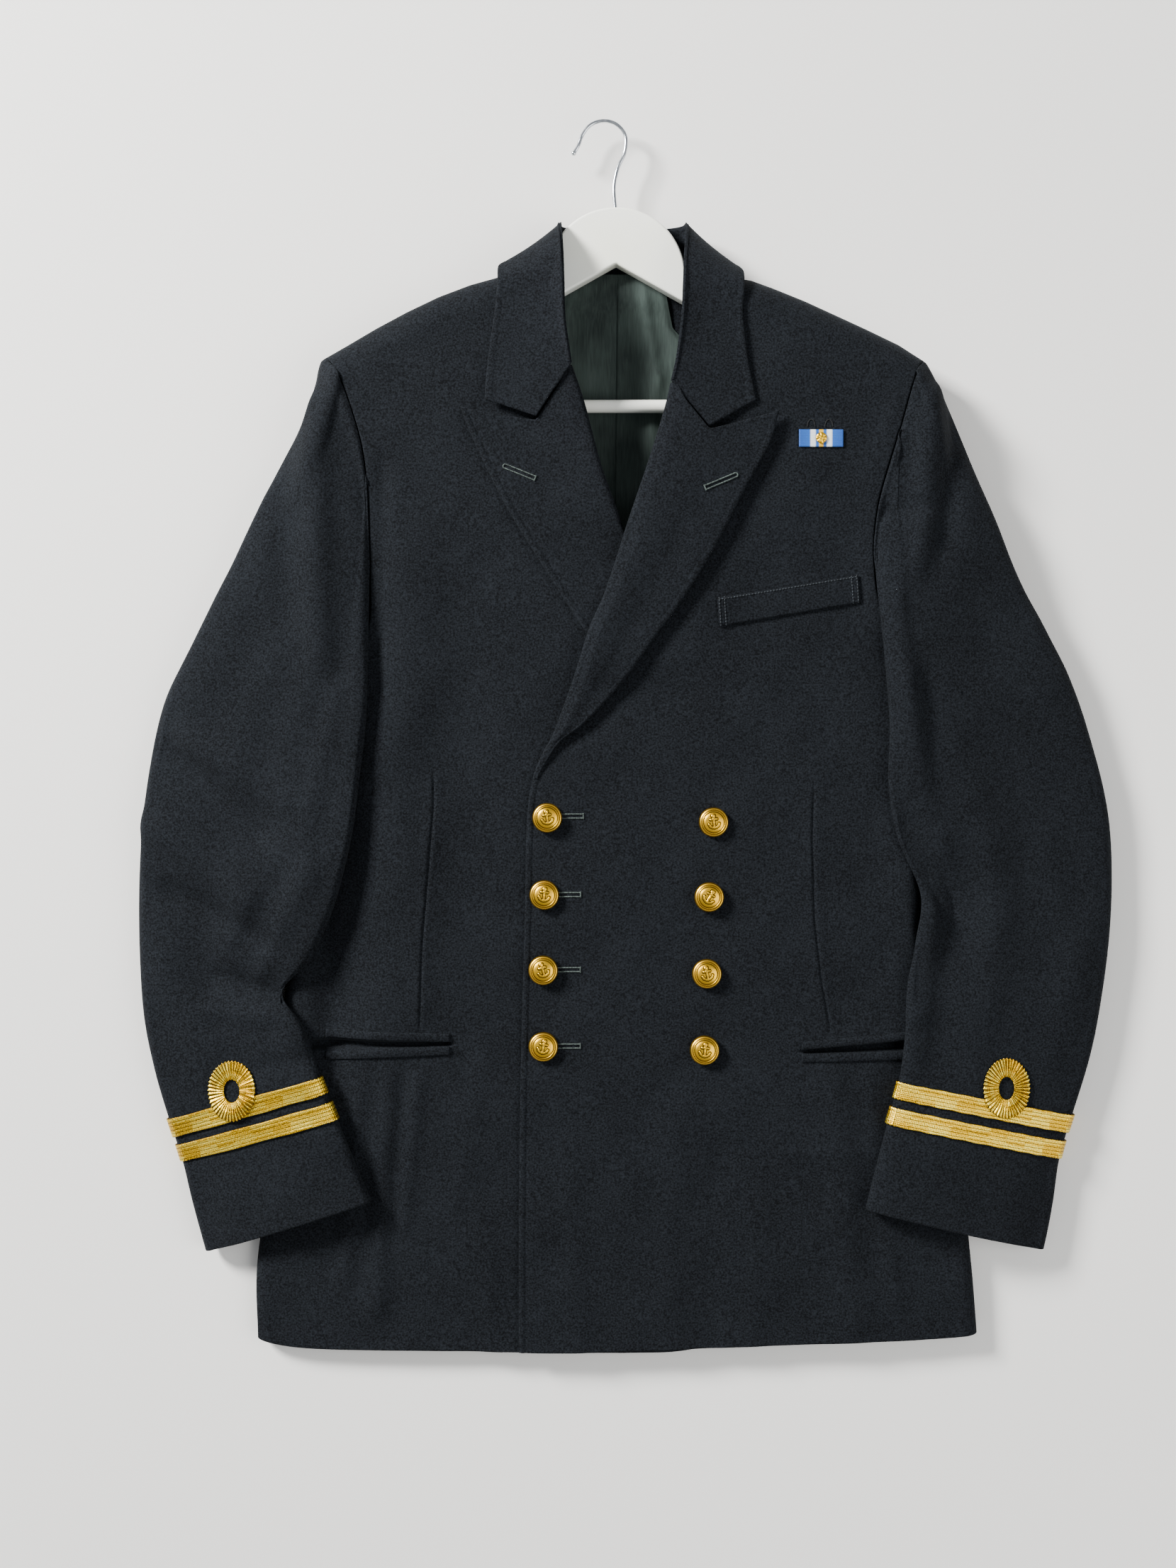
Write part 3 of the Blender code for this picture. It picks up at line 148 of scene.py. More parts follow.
# Sections down each flattened sleeve, armhole to cuff: outer edge, inner edge, where the underside
# crosses the body's side, and the upper surface's height near the outer edge, amid and inside.
ARM_COLUMNS = "outer_x outer_y inner_x inner_y under_x under_y high_out high_mid high_in"
ARM = {
    "right": table(ARM_COLUMNS, [
        (-223.9, 269.9, -183.5, 78.6, -243, 43, 42, 42, 38),
        (-233.2, 231.3, -184, 45.5, -250, 31, 38, 44, 44),
        (-258.9, 180, -185.1, 10.1, -248, 19, 33, 43, 45),
        (-287, 120.6, -189.9, -27.7, -244, 6, 29, 40, 44),
        (-310.9, 72.9, -195.2, -65.7, -241, -14, 26, 37, 42),
        (-335.4, 24, -204.6, -106.3, -238, -73, 24, 35, 40),
        (-347.7, -35.3, -213.3, -132, -235, -116, 23, 32, 37),
        (-352.9, -92.1, -227, -159.9, -238, -154, 22, 29, 34),
        (-353.4, -148.8, -247, -183, -262, -178, 21, 26, 30),
        (-348.8, -210.6, -231.8, -207.9, -242, -208, 21, 28, 34),
        (-341.3, -244.3, -224.6, -227.7, -245, -231, 20, 28, 34),
        (-332, -275.8, -219.5, -243.1, -249, -252, 20, 29, 34),
        (-322.2, -306.8, -207.2, -273.9, -254, -287, 19, 31, 34),
        (-314.2, -340, -195.1, -303.7, -260, -324, 18, 32, 34),
        (-305.4, -373.1, -183, -332.9, -267, -360, 17, 32, 33)]),
    "left": table(ARM_COLUMNS, [
        (217.8, 268.8, 177.1, 161.8, 231, 47, 42, 42, 41),
        (231.9, 239, 178.1, 126, 238, 35, 39, 45, 46),
        (258.7, 174.9, 181.3, 83.2, 237, 23, 34, 44, 47),
        (279.8, 122.2, 184.6, 45.5, 234, 10, 30, 41, 46),
        (300.1, 83.7, 187.5, 7.7, 231, -8, 27, 38, 44),
        (323.6, 39.4, 186.8, -30.2, 228, -30, 25, 36, 42),
        (341.6, -15.2, 192.8, -68.4, 221, -60, 23, 33, 39),
        (352.4, -71.4, 210.9, -113.3, 219, -108, 22, 29, 35),
        (352.4, -133.3, 207.5, -145.4, 218, -144, 21, 28, 34),
        (345.7, -190, 202.6, -178.2, 222, -180, 21, 28, 34),
        (336.7, -234, 199.7, -215.7, 229, -219, 20, 28, 34),
        (324.9, -272.7, 195.5, -246.1, 236, -255, 20, 29, 34),
        (315.6, -304.7, 187.2, -276.5, 242, -288, 19, 32, 35),
        (310.7, -337.4, 179.7, -305.2, 249, -323, 18, 34, 36),
        (304, -371.5, 171.7, -338, 255, -359, 17, 34, 35)])}
HEAD_FADE = [1, 0.62, 0.34, 0.12]
UNDER_FADE = [1, 0.25, 0.05, 0]
CUFF_ROWS = {"upper": 11.0, "lower": 11.59}

# Soft folds pressed into the sleeves: from, to, half width, height (a trough is below zero).
SLEEVE_FOLDS = {
    "right": table("x0 y0 x1 y1 half high", [
        (-232, 225, -236, 70, 16, 3), (-200, 60, -215, -60, 18, -3), (-250, -30, -300, -130, 20, -3),
        (-235, -80, -290, -160, 14, 3), (-255, -183, -300, -168, 12, -4)]),
    "left": table("x0 y0 x1 y1 half high", [
        (236, 225, 228, 130, 16, 3), (182, 160, 222, 172, 9, -3), (205, -60, 238, -120, 14, -4),
        (238, -120, 214, -180, 12, -3), (222, -50, 262, -110, 14, 3)])}

# Lapels from gorge to break: roll edge and outer edge.
LAPEL = {
    "left": table("roll_x roll_y edge_x edge_y", [
        (31, 250.9, 108.4, 231.1), (26.5, 231.9, 101.5, 207.7), (16.1, 197.8, 85, 177.2),
        (0.6, 152, 61, 130.8), (-15, 104, 34.9, 89.7), (-26.5, 77.5, 23.9, 75.7),
        (-38.1, 40.9, 0.7, 42.9), (-51.6, 4.3, -27, 12.4), (-58.7, -9, -46.5, -3), (-64.6, -22, -60.6, -21.5),
        (-67, -30, -64.8, -30)]),
    "right": table("roll_x roll_y edge_x edge_y", [
        (-38.6, 264, -118.3, 234.1), (-29.6, 237.2, -110.9, 215.2), (-18.5, 195.8, -93.9, 178.9),
        (-9.9, 171, -79.9, 153.6), (-1.3, 147.7, -64.8, 129.5), (8.3, 121.3, -47.3, 102.1),
        (20, 88, -30, 76), (24, 76, -22, 66)])}
NOTCH = {"left": (58.6, 217.6), "right": (-64.1, 224.8)}

# %% Collar, trimmings and hanger tables
# Collar sections from the right lapel's notch round the back of the neck to the left one: outer
# edge of the fall, crease, and seam of the stand.
COLLAR = table("edge_x edge_y edge_z roll_x roll_y roll_z seam_x seam_y seam_z", [
    (-100.7, 238.9, 46.5, -38.6, 264.5, 51, -47, 270, 46),
    (-99.8, 255.6, 47, -41, 280, 51.5, -51, 282, 46),
    (-96.5, 282, 47, -43.2, 298, 52, -54, 300, 46),
    (-93.4, 304, 46.8, -43.8, 320, 51, -57, 319, 46),
    (-92, 323, 45, -44.5, 342, 46, -59, 333, 41),
    (-92, 337, 34, -45.5, 360, 37, -59.5, 342, 32),
    (-87.3, 340, 21, -46.5, 371.5, 24, -59.5, 345, 20),
    (-80, 336, 8, -46.5, 372, 12, -59, 345, 11),
    (-66, 331, 1, -41, 372, 7.8, -54, 342.5, 6.6),
    (-40, 326, 0, -22, 371.5, 8.2, -26, 342, 6.5),
    (-7, 325, 0, -7, 371, 8.2, -7, 342, 6.5),
    (28, 326, 0, 10, 371, 8.2, 14, 342, 6.5),
    (52, 330, 1, 30, 371.5, 7.8, 40, 342.5, 6.6),
    (66, 334, 8, 41, 372, 12, 46.5, 345, 11),
    (78, 338.5, 21, 43.4, 371, 24, 46.2, 346, 20),
    (84, 334, 34, 42.2, 359, 37, 46.6, 342, 32),
    (84, 321, 45, 40.5, 341, 46, 46.8, 332, 41),
    (82.6, 304.6, 46.8, 39.5, 320, 51, 47, 318, 46),
    (83.2, 292, 47, 38.5, 300, 52, 45, 299, 46),
    (86.5, 266, 47, 35, 270, 51.5, 40, 275, 46),
    (92.2, 238.9, 46.5, 31, 251.5, 51, 36, 259, 46)])

# Sewn-on pieces of the fronts
WELT = {"lower_left": (66, 78.9), "upper_left": (64.5, 99.1),
        "upper_right": (165.2, 115.7), "lower_right": (166.7, 96)}
JETS = table("side end_x end_y run_x run_y wide", [
    (1, 126.2, -221.5, 206, -214, 6.5), (1, 126.2, -230.3, 206, -228.5, 6.5),
    (-1, -127, -216.3, -217, -213.5, 6.5), (-1, -127, -225.6, -217, -229.5, 6.5)])
BUTTONS = table("column row x y", [
    (0, 0, -56.4, -57.5), (0, 1, -58.6, -112.7), (0, 2, -59.4, -166.8), (0, 3, -59.4, -221.9),
    (1, 0, 62.4, -60.6), (1, 1, 59.4, -114.2), (1, 2, 57.9, -169.3), (1, 3, 56.4, -224.4)])
RIBBON = {"x": 138.2, "y": 212.2, "wide": 31.5, "high": 12.4, "thick": 1.2}
CURL = {"right": (-283, -253.6), "left": (273.1, -251.6)}
CURL_SIZE = {"wide": 17.4, "high": 21.6, "hole_wide": 5.6, "hole_high": 8.0}

# Hanger: right half of the board's outline, from the top of the head to the notch.
BOARD_HEAD = {"x": -6.5, "y": 333.8, "radius": 49.5}
BOARD_ARM = table("x y", [
    (47, 324), (78, 310), (120, 294), (155, 277), (176, 264), (185, 254), (186, 242), (182, 233),
    (174, 230), (164.3, 231), (164.3, 250), (150, 257), (120, 272), (80, 293.5)])
BOARD_NOTCH = 342.5
BAR_Y = 240.5
BAR_HALF = 171.0
HOOK = [(-7.5, 383.7), (-8.3, 401.2), (-5.9, 412.5), (-0.5, 425.4), (-0.8, 438.3), (-7.5, 445.5),
        (-16.7, 447.5), (-25.5, 444.5), (-31.4, 437.2), (-34.6, 429), (-38.6, 422.5)]

# %% [markdown]
# ## Curves through the tables
# Bezier curves placed by eye would do, but a cubic through measured sections keeps every piece on
# the frame's solids.

# %% Curves
def curve(places, values, at):
    """Cubic through a table's values: each stretch is a Hermite arc whose end slopes are the mean
    slopes of its neighbours."""
    order = np.argsort(places)
    places = np.asarray(places, float)[order]
    values = np.asarray(values, float)[order]
    slope = np.gradient(values, places)
    at = np.clip(np.asarray(at, float), places[0], places[-1])
    i = np.clip(np.searchsorted(places, at, side="right") - 1, 0, len(places) - 2)
    width = places[i + 1] - places[i]
    t = (at - places[i]) / width
    start = (1 + 2 * t) * (1 - t) ** 2 * values[i] + t * (1 - t) ** 2 * width * slope[i]
    end = t * t * (3 - 2 * t) * values[i + 1] + t * t * (t - 1) * width * slope[i + 1]
    return start + end


def column(tab, name, at):
    """A named column of a section table, read between its rows."""
    return curve(np.arange(len(tab[name])), tab[name], at)


def smooth(value):
    """0 below 0, 1 above 1, with level ends."""
    t = np.clip(value, 0, 1)
    return t * t * (3 - 2 * t)


def arc_rise(distance, radius):
    """0 at an edge and 1 one radius in from it, along a quarter circle."""
    t = np.clip(distance / radius, 0, 1)
    return np.sqrt(np.maximum(1 - (1 - t) ** 2, 0))


def folds_height(x, y, folds):
    """Sum of soft ridges and troughs, each a bell across its line that dies out at the ends."""
    total = np.zeros(np.broadcast(x, y).shape)
    for x0, y0, x1, y1, half, high in zip(*(folds[k] for k in ("x0", "y0", "x1", "y1", "half", "high"))):
        run = math.hypot(x1 - x0, y1 - y0)
        along = ((x - x0) * (x1 - x0) + (y - y0) * (y1 - y0)) / run
        across = ((x - x0) * (y1 - y0) - (y - y0) * (x1 - x0)) / run
        beyond = np.maximum(np.maximum(-along, along - run), 0)
        total = total + high * np.exp(-(across / half) ** 2 - (beyond / (1.5 * half)) ** 2)
    return total

# %% [markdown]
# ## The closed body
# The body is a flattened tube. Front and back meet at mid height along the shoulder and side seams,
# the back lies on the floor, and the front's height is its crown.

# %% Heights of the body
def side_edge(y, side):
    """X of the body's side below the armpit."""
    rows = np.linspace(ARMPIT_ROW, len(FRONT[side]["outer_x"]) - 1, 240)
    return np.interp(-y, -column(FRONT[side], "outer_y", rows), column(FRONT[side], "outer_x", rows))


def body_limit(y, side):
    """X where the closed body ends: its armhole edge above the armpit, its side below."""
    rows = np.linspace(0, len(FRONT[side]["outer_x"]) - 1, 400)
    return np.interp(-y, -column(FRONT[side], "outer_y", rows), column(FRONT[side], "outer_x", rows))


def body_parts(x, y, side):
    """Crown, mid height and rise (0 at the ridge and side, 1 on the flat) of the closed body."""
    crown = curve(BODY["y"], BODY["crown"], y)
    crown = crown * (1 - SIDE_FALL * ((x - CENTRE_X) / HALF_CHEST) ** 2)
    ridge = (np.interp(x, SHOULDER["x"], SHOULDER["y"]) - y) * math.cos(math.radians(25))
    shoulder = arc_rise(ridge, SHOULDER_RADIUS)
    below_arm = smooth((ARMPIT_Y + 26 - y) / 20)
    edge = arc_rise(np.abs(side_edge(y, side) - x), SIDE_RADIUS)
    inside = (side_edge(y, side) - x) * (1 if side == "left" else -1)
    edge = np.where(inside > 0, edge, 0)
    return crown, crown / 2, shoulder * (1 + (edge - 1) * below_arm)


def front_height(x, y, side):
    """Outer surface of a front: mid height at the shoulder and side seams, the crown elsewhere."""
    crown, middle, rise = body_parts(x, y, side)
    if side == "right":
        step = -OVERLAP_STEP * rise
    else:
        hidden = smooth((y - 28) / 32) * smooth((230 - y) / 60) * smooth((95 - x) / 55)
        step = LAPEL_LIFT * hidden * rise
    return middle + (crown - middle) * rise + step


def back_height(x, y, side):
    """Outer surface of the back: on the floor, up to mid height at the seams, and lifted at the
    neck over the collar's fall."""
    crown, middle, rise = body_parts(x, y, side)
    from_neck = np.abs(x - CENTRE_X)
    ridge = smooth((from_neck - 50) / 9)
    lift = NECK_LIFT * smooth((y - 305) / 18) * (1 - smooth((from_neck - 70) / 25))
    return np.maximum(middle * (1 - rise) * ridge, lift)

# %% Coarse nets of front and back, where the sleeves join
def front_rows(side):
    """Row values of a front's grid, shoulder to hem."""
    return np.array(ARMHOLE_ROWS[side] + LOWER_ROWS)


def front_grid(side):
    """Outer points of a front, rows from shoulder to hem, columns from front edge to side."""
    rows = front_rows(side)[:, None]
    tab = FRONT[side]
    inner_x, inner_y = column(tab, "inner_x", rows), column(tab, "inner_y", rows)
    outer_x, outer_y = column(tab, "outer_x", rows), column(tab, "outer_y", rows)
    width = np.abs(outer_x - inner_x)
    arc = SIDE_RADIUS * (1 - np.cos(np.radians([90, 60, 30, 0])))
    plateau = np.linspace(0, 1, 9)[None, :-1]
    across = np.hstack([plateau * (1 - arc[0] / width), 1 - arc[None, :] / width])
    x = inner_x + (outer_x - inner_x) * across
    straight = inner_y + (outer_y - inner_y) * across
    ridge = np.interp(x, SHOULDER["x"], SHOULDER["y"]) - straight
    sag = HEM_SAG[side] * (1 - (2 * across - 1) ** 8)
    y = straight + ridge * np.clip(1 - rows / 3, 0, 1) ** 2 - sag * smooth((rows - 15) / 3)
    z = front_height(x, y, side)
    return np.stack([x, y, z], axis=-1)


def back_grid(side):
    """Outer points of a back half, rows from neck and shoulder to hem, columns from the centre
    seam to the side."""
    rows = front_rows(side)[:, None]
    front = front_grid(side)
    outer_x, outer_y = front[:, -1:, 0], front[:, -1:, 1]
    hem = outer_y[-1, 0] - 6
    upper = 340 + (ARMPIT_Y - 340) * rows / ARMPIT_ROW
    lower = ARMPIT_Y + (hem - ARMPIT_Y) * (rows - ARMPIT_ROW) / (rows.max() - ARMPIT_ROW)
    middle_y = np.where(rows < ARMPIT_ROW, upper, lower)
    width = np.abs(outer_x - CENTRE_X)
    arc = SIDE_RADIUS * (1 - np.cos(np.radians([90, 60, 30, 0])))
    plateau = np.array([0, 0.12, 0.25, 0.29, 0.42, 0.62, 0.82])[None, :]
    across = np.hstack([plateau * (1 - arc[0] / width), 1 - arc[None, :] / width])
    x = CENTRE_X + (outer_x - CENTRE_X) * across
    straight = middle_y + (outer_y - middle_y) * across
    top = np.where(np.abs(x - CENTRE_X) < 53, 340.5, np.interp(x, SHOULDER["x"], SHOULDER["y"]))
    y = straight + (top - straight) * np.clip(1 - rows / 3, 0, 1) ** 2
    z = back_height(x, y, side)
    return np.stack([x, y, z], axis=-1)


def normals(grid, outward, ring=False):
    """Unit normals of a grid of points, on the side that outward points to at its middle."""
    if ring:
        wide = np.concatenate([grid[:, -1:], grid, grid[:, :1]], axis=1)
        across = (wide[:, 2:] - wide[:, :-2]) / 2
    else:
        across = np.gradient(grid, axis=1)
    down = np.gradient(grid, axis=0)
    normal = np.cross(across, down)
    normal /= np.maximum(np.linalg.norm(normal, axis=-1, keepdims=True), 1e-9)
    middle = normal[grid.shape[0] // 2, grid.shape[1] // 2]
    return normal if np.dot(middle, outward) > 0 else -normal


def inside(grid, wall, outward, ring=False):
    """The points of a wall's inner face. Where a rim stands upright, it stays level."""
    normal = normals(grid, outward, ring)
    inner = grid - wall * normal
    rim = np.zeros(grid.shape[:2], bool)
    rim[[0, -1]] = True
    if not ring:
        rim[:, [0, -1]] = True
    upright = rim & (np.abs(normal[..., 2]) < 0.6)
    flat = normal[..., :2] / np.maximum(np.linalg.norm(normal[..., :2], axis=-1, keepdims=True), 1e-9)
    inner[..., :2] = np.where(upright[..., None], grid[..., :2] - wall * flat, inner[..., :2])
    inner[..., 2] = np.where(upright, grid[..., 2], inner[..., 2])
    return inner

# %% [markdown]
# ## Sleeves
# Each sleeve is a flattened tube too. Its sections run from the armhole, which is the body's own
# edge, to the cuff, and its underside climbs over the body where it lies on it.

# %% Sections of a sleeve
def body_base(x, y, side, lift):
    """Height that a sleeve's underside keeps: the floor away from the body, its front over it."""
    way = 1 if side == "left" else -1
    outside = (x - body_limit(y, side)) * way
    near = smooth(1 - (outside - 4) / SLEEVE_RAMP)
    inward = np.minimum(x * way, side_edge(y, side) * way - SIDE_RADIUS) * way
    top = front_height(inward, np.minimum(y, ARMPIT_Y + 60), side) + LAYER_GAP + lift
    below_arm = smooth((ARMPIT_Y + 26 - y) / 26)
    over = np.where(outside < 6, 1.0, near * below_arm)
    return np.maximum(0.0, top * over) + lift * (1 - over)


def sleeve_section(side, row, fold, pit, count, lift):
    """One closed section of a flattened sleeve, from its outer edge over the top to its inner fold
    and back underneath."""
    arm = ARM[side]
    outer = np.array([column(arm, "outer_x", row), column(arm, "outer_y", row)])
    inner = np.array([column(arm, "inner_x", row), column(arm, "inner_y", row)])
    under = np.array([column(arm, "under_x", row), column(arm, "under_y", row)])
    heights = [column(arm, name, row) for name in ("high_out", "high_mid", "high_in")]
    width = np.linalg.norm(inner - outer)
    way = (inner - outer) / width
    base_in = float(body_base(inner[0], inner[1], side, lift))
    base_out = lift
    radius_out = (heights[0] - base_out) / 2
    radius_in = max((heights[2] - base_in) / 2, 2.4)
    turn = np.radians([0, 30, 60, 90])
    spot = np.zeros((count, 3))

    def place(index, distance, z):
        spot[index % count, :2] = outer + way * distance
        spot[index % count, 2] = z

    for step, angle in enumerate(turn):
        rise = math.sin(angle)
        place(step, radius_out * (1 - math.cos(angle)), base_out + radius_out * (1 + rise))
        place(count - step, radius_out * (1 - math.cos(angle)), base_out + radius_out * (1 - rise))
        place(fold - step, width - radius_in * (1 - math.cos(angle)), base_in + radius_in * (1 + rise))
        place(fold + step, width - radius_in * (1 - math.cos(angle)), base_in + radius_in * (1 - rise))
    first, last = 3, fold - 3
    for index in range(first, last + 1):
        part = (index - first) / (last - first)
        distance = radius_out + (width - radius_in - radius_out) * part
        bend = 4 * part * (1 - part)
        high = heights[0] + (base_in + 2 * radius_in - heights[0]) * part
        middle = (heights[0] + base_in + 2 * radius_in) / 2
        place(index, distance, high + bend * (heights[1] - middle))
    inner_under = inner - way * radius_in
    outer_under = outer + way * radius_out
    for index in range(fold + 3, pit + 1):
        part = (index - fold - 3) / (pit - fold - 3)
        spot[index, :2] = inner_under + (under - inner_under) * part
    for index in range(pit, count - 2):
        part = (index - pit) / (count - 3 - pit)
        spot[index, :2] = under + (outer_under - under) * part
    low = slice(fold + 3, count - 2)
    spot[low, 2] = body_base(spot[low, 0], spot[low, 1], side, lift)
    top = np.arange(1, fold)
    share = np.clip(np.minimum(top, fold - top) / 4, 0, 1)
    spot[top, 2] += share * folds_height(spot[top, 0], spot[top, 1], SLEEVE_FOLDS[side])
    return spot


def armhole_ring(side, front, front_in, back, back_in):
    """The sleeve's first ring, outside the armhole of front and back, and its inner points."""
    pit = len(ARMHOLE_ROWS[side]) - 1
    way = np.array([1.0, 0, 0]) * (1 if side == "left" else -1)
    upper = front[:pit + 1, -1] + way * ARMHOLE_GAP
    upper_in = front_in[:pit + 1, -1] + way * ARMHOLE_GAP
    turned = np.arange(pit + 1) > FOLD_ROW
    lift = normals(front, (0, 0, 1))[:pit + 1, -1]
    to_pit = np.clip(np.arange(pit + 1) - pit + 2, 0, 2)[:, None]
    upper[turned] += (LAYER_GAP * (1 + to_pit) * lift)[turned]
    upper_in[turned] = upper[turned] + WALL * lift[turned]
    lower = back[1:pit, -1][::-1] + way * ARMHOLE_GAP
    lower_in = back_in[1:pit, -1][::-1] + way * ARMHOLE_GAP
    return np.concatenate([upper, lower]), np.concatenate([upper_in, lower_in])


def sleeve_grid(side, ring):
    """Outer points of a whole sleeve: a ring for each section, the first along the armhole."""
    pit = len(ARMHOLE_ROWS[side]) - 1
    count = 2 * pit
    sections = []
    for row in range(len(ARM[side]["outer_x"])):
        lift = 1.9 * smooth((row - 8) / 3)
        sections.append(sleeve_section(side, row, FOLD_ROW, pit, count, lift))
    sections = np.array(sections)
    bow = ring[:, :2] - sections[0, :, :2]
    over = slice(FOLD_ROW + 1, pit + 1)
    pit_lift = PIT_LIFT * np.clip(np.arange(-2, pit - FOLD_ROW - 2) / (pit - FOLD_ROW - 3), 0, 1)
    low = slice(FOLD_ROW + 3, count - 2)
    for row, (weight, under) in enumerate(zip(HEAD_FADE, UNDER_FADE)):
        fade = np.where(np.arange(count) > pit, under, weight)
        here = sections[row]
        here[:, :2] += fade[:, None] * bow
        here[low, 2] = body_base(here[low, 0], here[low, 1], side, 0.0)
        least = body_base(here[over, 0], here[over, 1], side, 0.0) + pit_lift
        here[:, 2] += fade * (ring[:, 2] - here[:, 2])
        here[over, 2] = np.maximum(here[over, 2], least)
    sections[0] = ring
    return sections

# %% [markdown]
# ## Meshes from arrays
# Every new piece is a grid of points computed as whole arrays, and one helper turns it into a mesh.
# A cloth piece is a closed shell: two faces half a wall to each side of the cloth's middle, which
# meet in a rounded edge, because a turned cloth edge is soft and a cut slab's isn't.

# %% Mesh helpers
def triangles_of(faces):
    """Each polygon as a fan of triangles about its first corner."""
    fans = [np.stack([f[:, 0], f[:, k], f[:, k + 1]], axis=1)
            for f in faces for k in range(1, f.shape[1] - 1)]
    return np.concatenate(fans)


def add_piece(name, points, faces, paint, node=None, uv=None, flat_from=None):
    """A smooth mesh from points in mm and arrays of equal polygons, turned outward by the sign of
    its volume, which is the sum of a . (b x c) / 6 over its triangles."""
    corner = points[triangles_of(faces)]
    volume = np.sum(corner[:, 0] * np.cross(corner[:, 1], corner[:, 2])) / 6
    if volume < 0:
        faces = [f[:, ::-1] for f in faces]
    loops = np.concatenate([f.ravel() for f in faces])
    sizes = np.concatenate([np.full(len(f), f.shape[1]) for f in faces])
    mesh = bpy.data.meshes.new(name)
    mesh.vertices.add(len(points))
    mesh.vertices.foreach_set("co", (points * MM).astype(np.float32).ravel())
    mesh.loops.add(len(loops))
    mesh.loops.foreach_set("vertex_index", loops.astype(np.int32))
    mesh.polygons.add(len(sizes))
    mesh.polygons.foreach_set("loop_start", np.concatenate([[0], np.cumsum(sizes)[:-1]]).astype(np.int32))
    mesh.polygons.foreach_set("use_smooth", sizes <= 4)
    mesh.update(calc_edges=True)
    if uv is not None:
        layer = mesh.uv_layers.new(name="UVMap")
        layer.data.foreach_set("uv", uv[loops].astype(np.float32).ravel())
    mesh.validate()
    mesh.materials.append(paint)
    made = bpy.data.objects.new(name, mesh)
    bpy.context.scene.collection.objects.link(made)
    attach(made, "root")
    if node:
        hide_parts(node)
    return made


def quads(number):
    """The quads between neighbours in a grid of vertex numbers."""
    corners = [number[:-1, :-1], number[:-1, 1:], number[1:, 1:], number[1:, :-1]]
    return np.stack(corners, axis=-1).reshape(-1, 4)


def walked(points, axis):
    """Distance walked along one axis of a grid of points, 0 at its start."""
    step = np.linalg.norm(np.diff(points, axis=axis), axis=-1)
    pad = [(0, 0)] * step.ndim
    pad[axis] = (1, 0)
    return np.cumsum(np.pad(step, pad), axis=axis)


def facing(grid, around, outward):
    """Unit normals of a grid, on the side that outward points to at the grid's middle."""
    return normals(grid, outward, ring=around)


def edge_distance(grid, around):
    """Distance to the nearest edge of a grid of points, along its rows and columns."""
    down = walked(grid, 0)
    near = np.minimum(down, down[-1:] - down)
    if not around:
        across = walked(grid, 1)
        near = np.minimum(near, np.minimum(across, across[:, -1:] - across))
    return near


def cloth_shell(name, face, wall, outward, paint, node, soft=1.1, around=False, uv=None):
    """Closed shell below a grid of outer points. Its middle is the face less half a wall along the
    normal, and the half wall rises along a quarter ellipse from 0 at the edge to full at soft mm."""
    normal = facing(face, around, outward)
    middle = face - normal * wall / 2
    half = wall / 2 * arc_rise(edge_distance(face, around), soft)[..., None]
    top, low = middle + normal * half, middle - normal * half
    rows, columns = face.shape[:2]
    number = np.arange(rows * columns).reshape(rows, columns)
    under = number + rows * columns
    under[[0, -1]] = number[[0, -1]]
    if around:
        number = np.concatenate([number, number[:, :1]], axis=1)
        under = np.concatenate([under, under[:, :1]], axis=1)
    else:
        under[:, [0, -1]] = number[:, [0, -1]]
    points = np.concatenate([top.reshape(-1, 3), low.reshape(-1, 3)])
    if uv is not None:
        uv = np.concatenate([uv.reshape(-1, 2), uv.reshape(-1, 2)])
    both_nets = np.concatenate([quads(number).ravel(), quads(under).ravel()])
    used, packed = np.unique(both_nets, return_inverse=True)
    both = packed.reshape(2, -1, 4)
    made = add_piece(name, points[used], [both[0], both[1][:, ::-1]], paint, node,
                     None if uv is None else uv[used])
    made["cloth_area"] = float(grid_area(middle, around)) * MM * MM
    return made


def grid_area(grid, around):
    """Area of a grid of points in mm2: half the cross product of each quad's diagonals."""
    if around:
        grid = np.concatenate([grid, grid[:, :1]], axis=1)
    one = grid[1:, 1:] - grid[:-1, :-1]
    two = grid[1:, :-1] - grid[:-1, 1:]
    return np.sum(np.linalg.norm(np.cross(one, two), axis=-1)) / 2


# %% [markdown]
# ## Materials
# Doeskin is wool that is milled until the weave vanishes and then cropped: a matt, nearly black blue
# with a faint light nap. Gilt wire lace is woven from gilt wire, so it is metal that shows a weave.
# Each finish below starts from what the real one is.

# %% Node helper and colours
def linear(code):
    """An sRGB hex colour as linear red, green, blue and alpha."""
    value = np.array([int(code[k:k + 2], 16) for k in (1, 3, 5)]) / 255
    flat = np.where(value <= 0.04045, value / 12.92, ((value + 0.055) / 1.055) ** 2.4)
    return (*(float(v) for v in flat), 1.0)


def add(tree, kind, settings):
    """A node of that kind. A setting is an input, by its name or number, with a value or another
    node's socket, or else a property. The key stops gives a colour ramp's places and colours."""
    made = tree.nodes.new(kind)
    for key, value in settings.items():
        if key == "stops":
            ramp = made.color_ramp
            for place, colour in value[1:-1]:
                ramp.elements.new(place).color = colour
            for end, (place, colour) in ((0, value[0]), (-1, value[-1])):
                ramp.elements[end].position = place
                ramp.elements[end].color = colour
        elif isinstance(key, str) and key not in made.inputs:
            setattr(made, key, value)
        elif isinstance(value, bpy.types.NodeSocket):
            tree.links.new(value, made.inputs[key])
        else:
            made.inputs[key].default_value = value
    return made


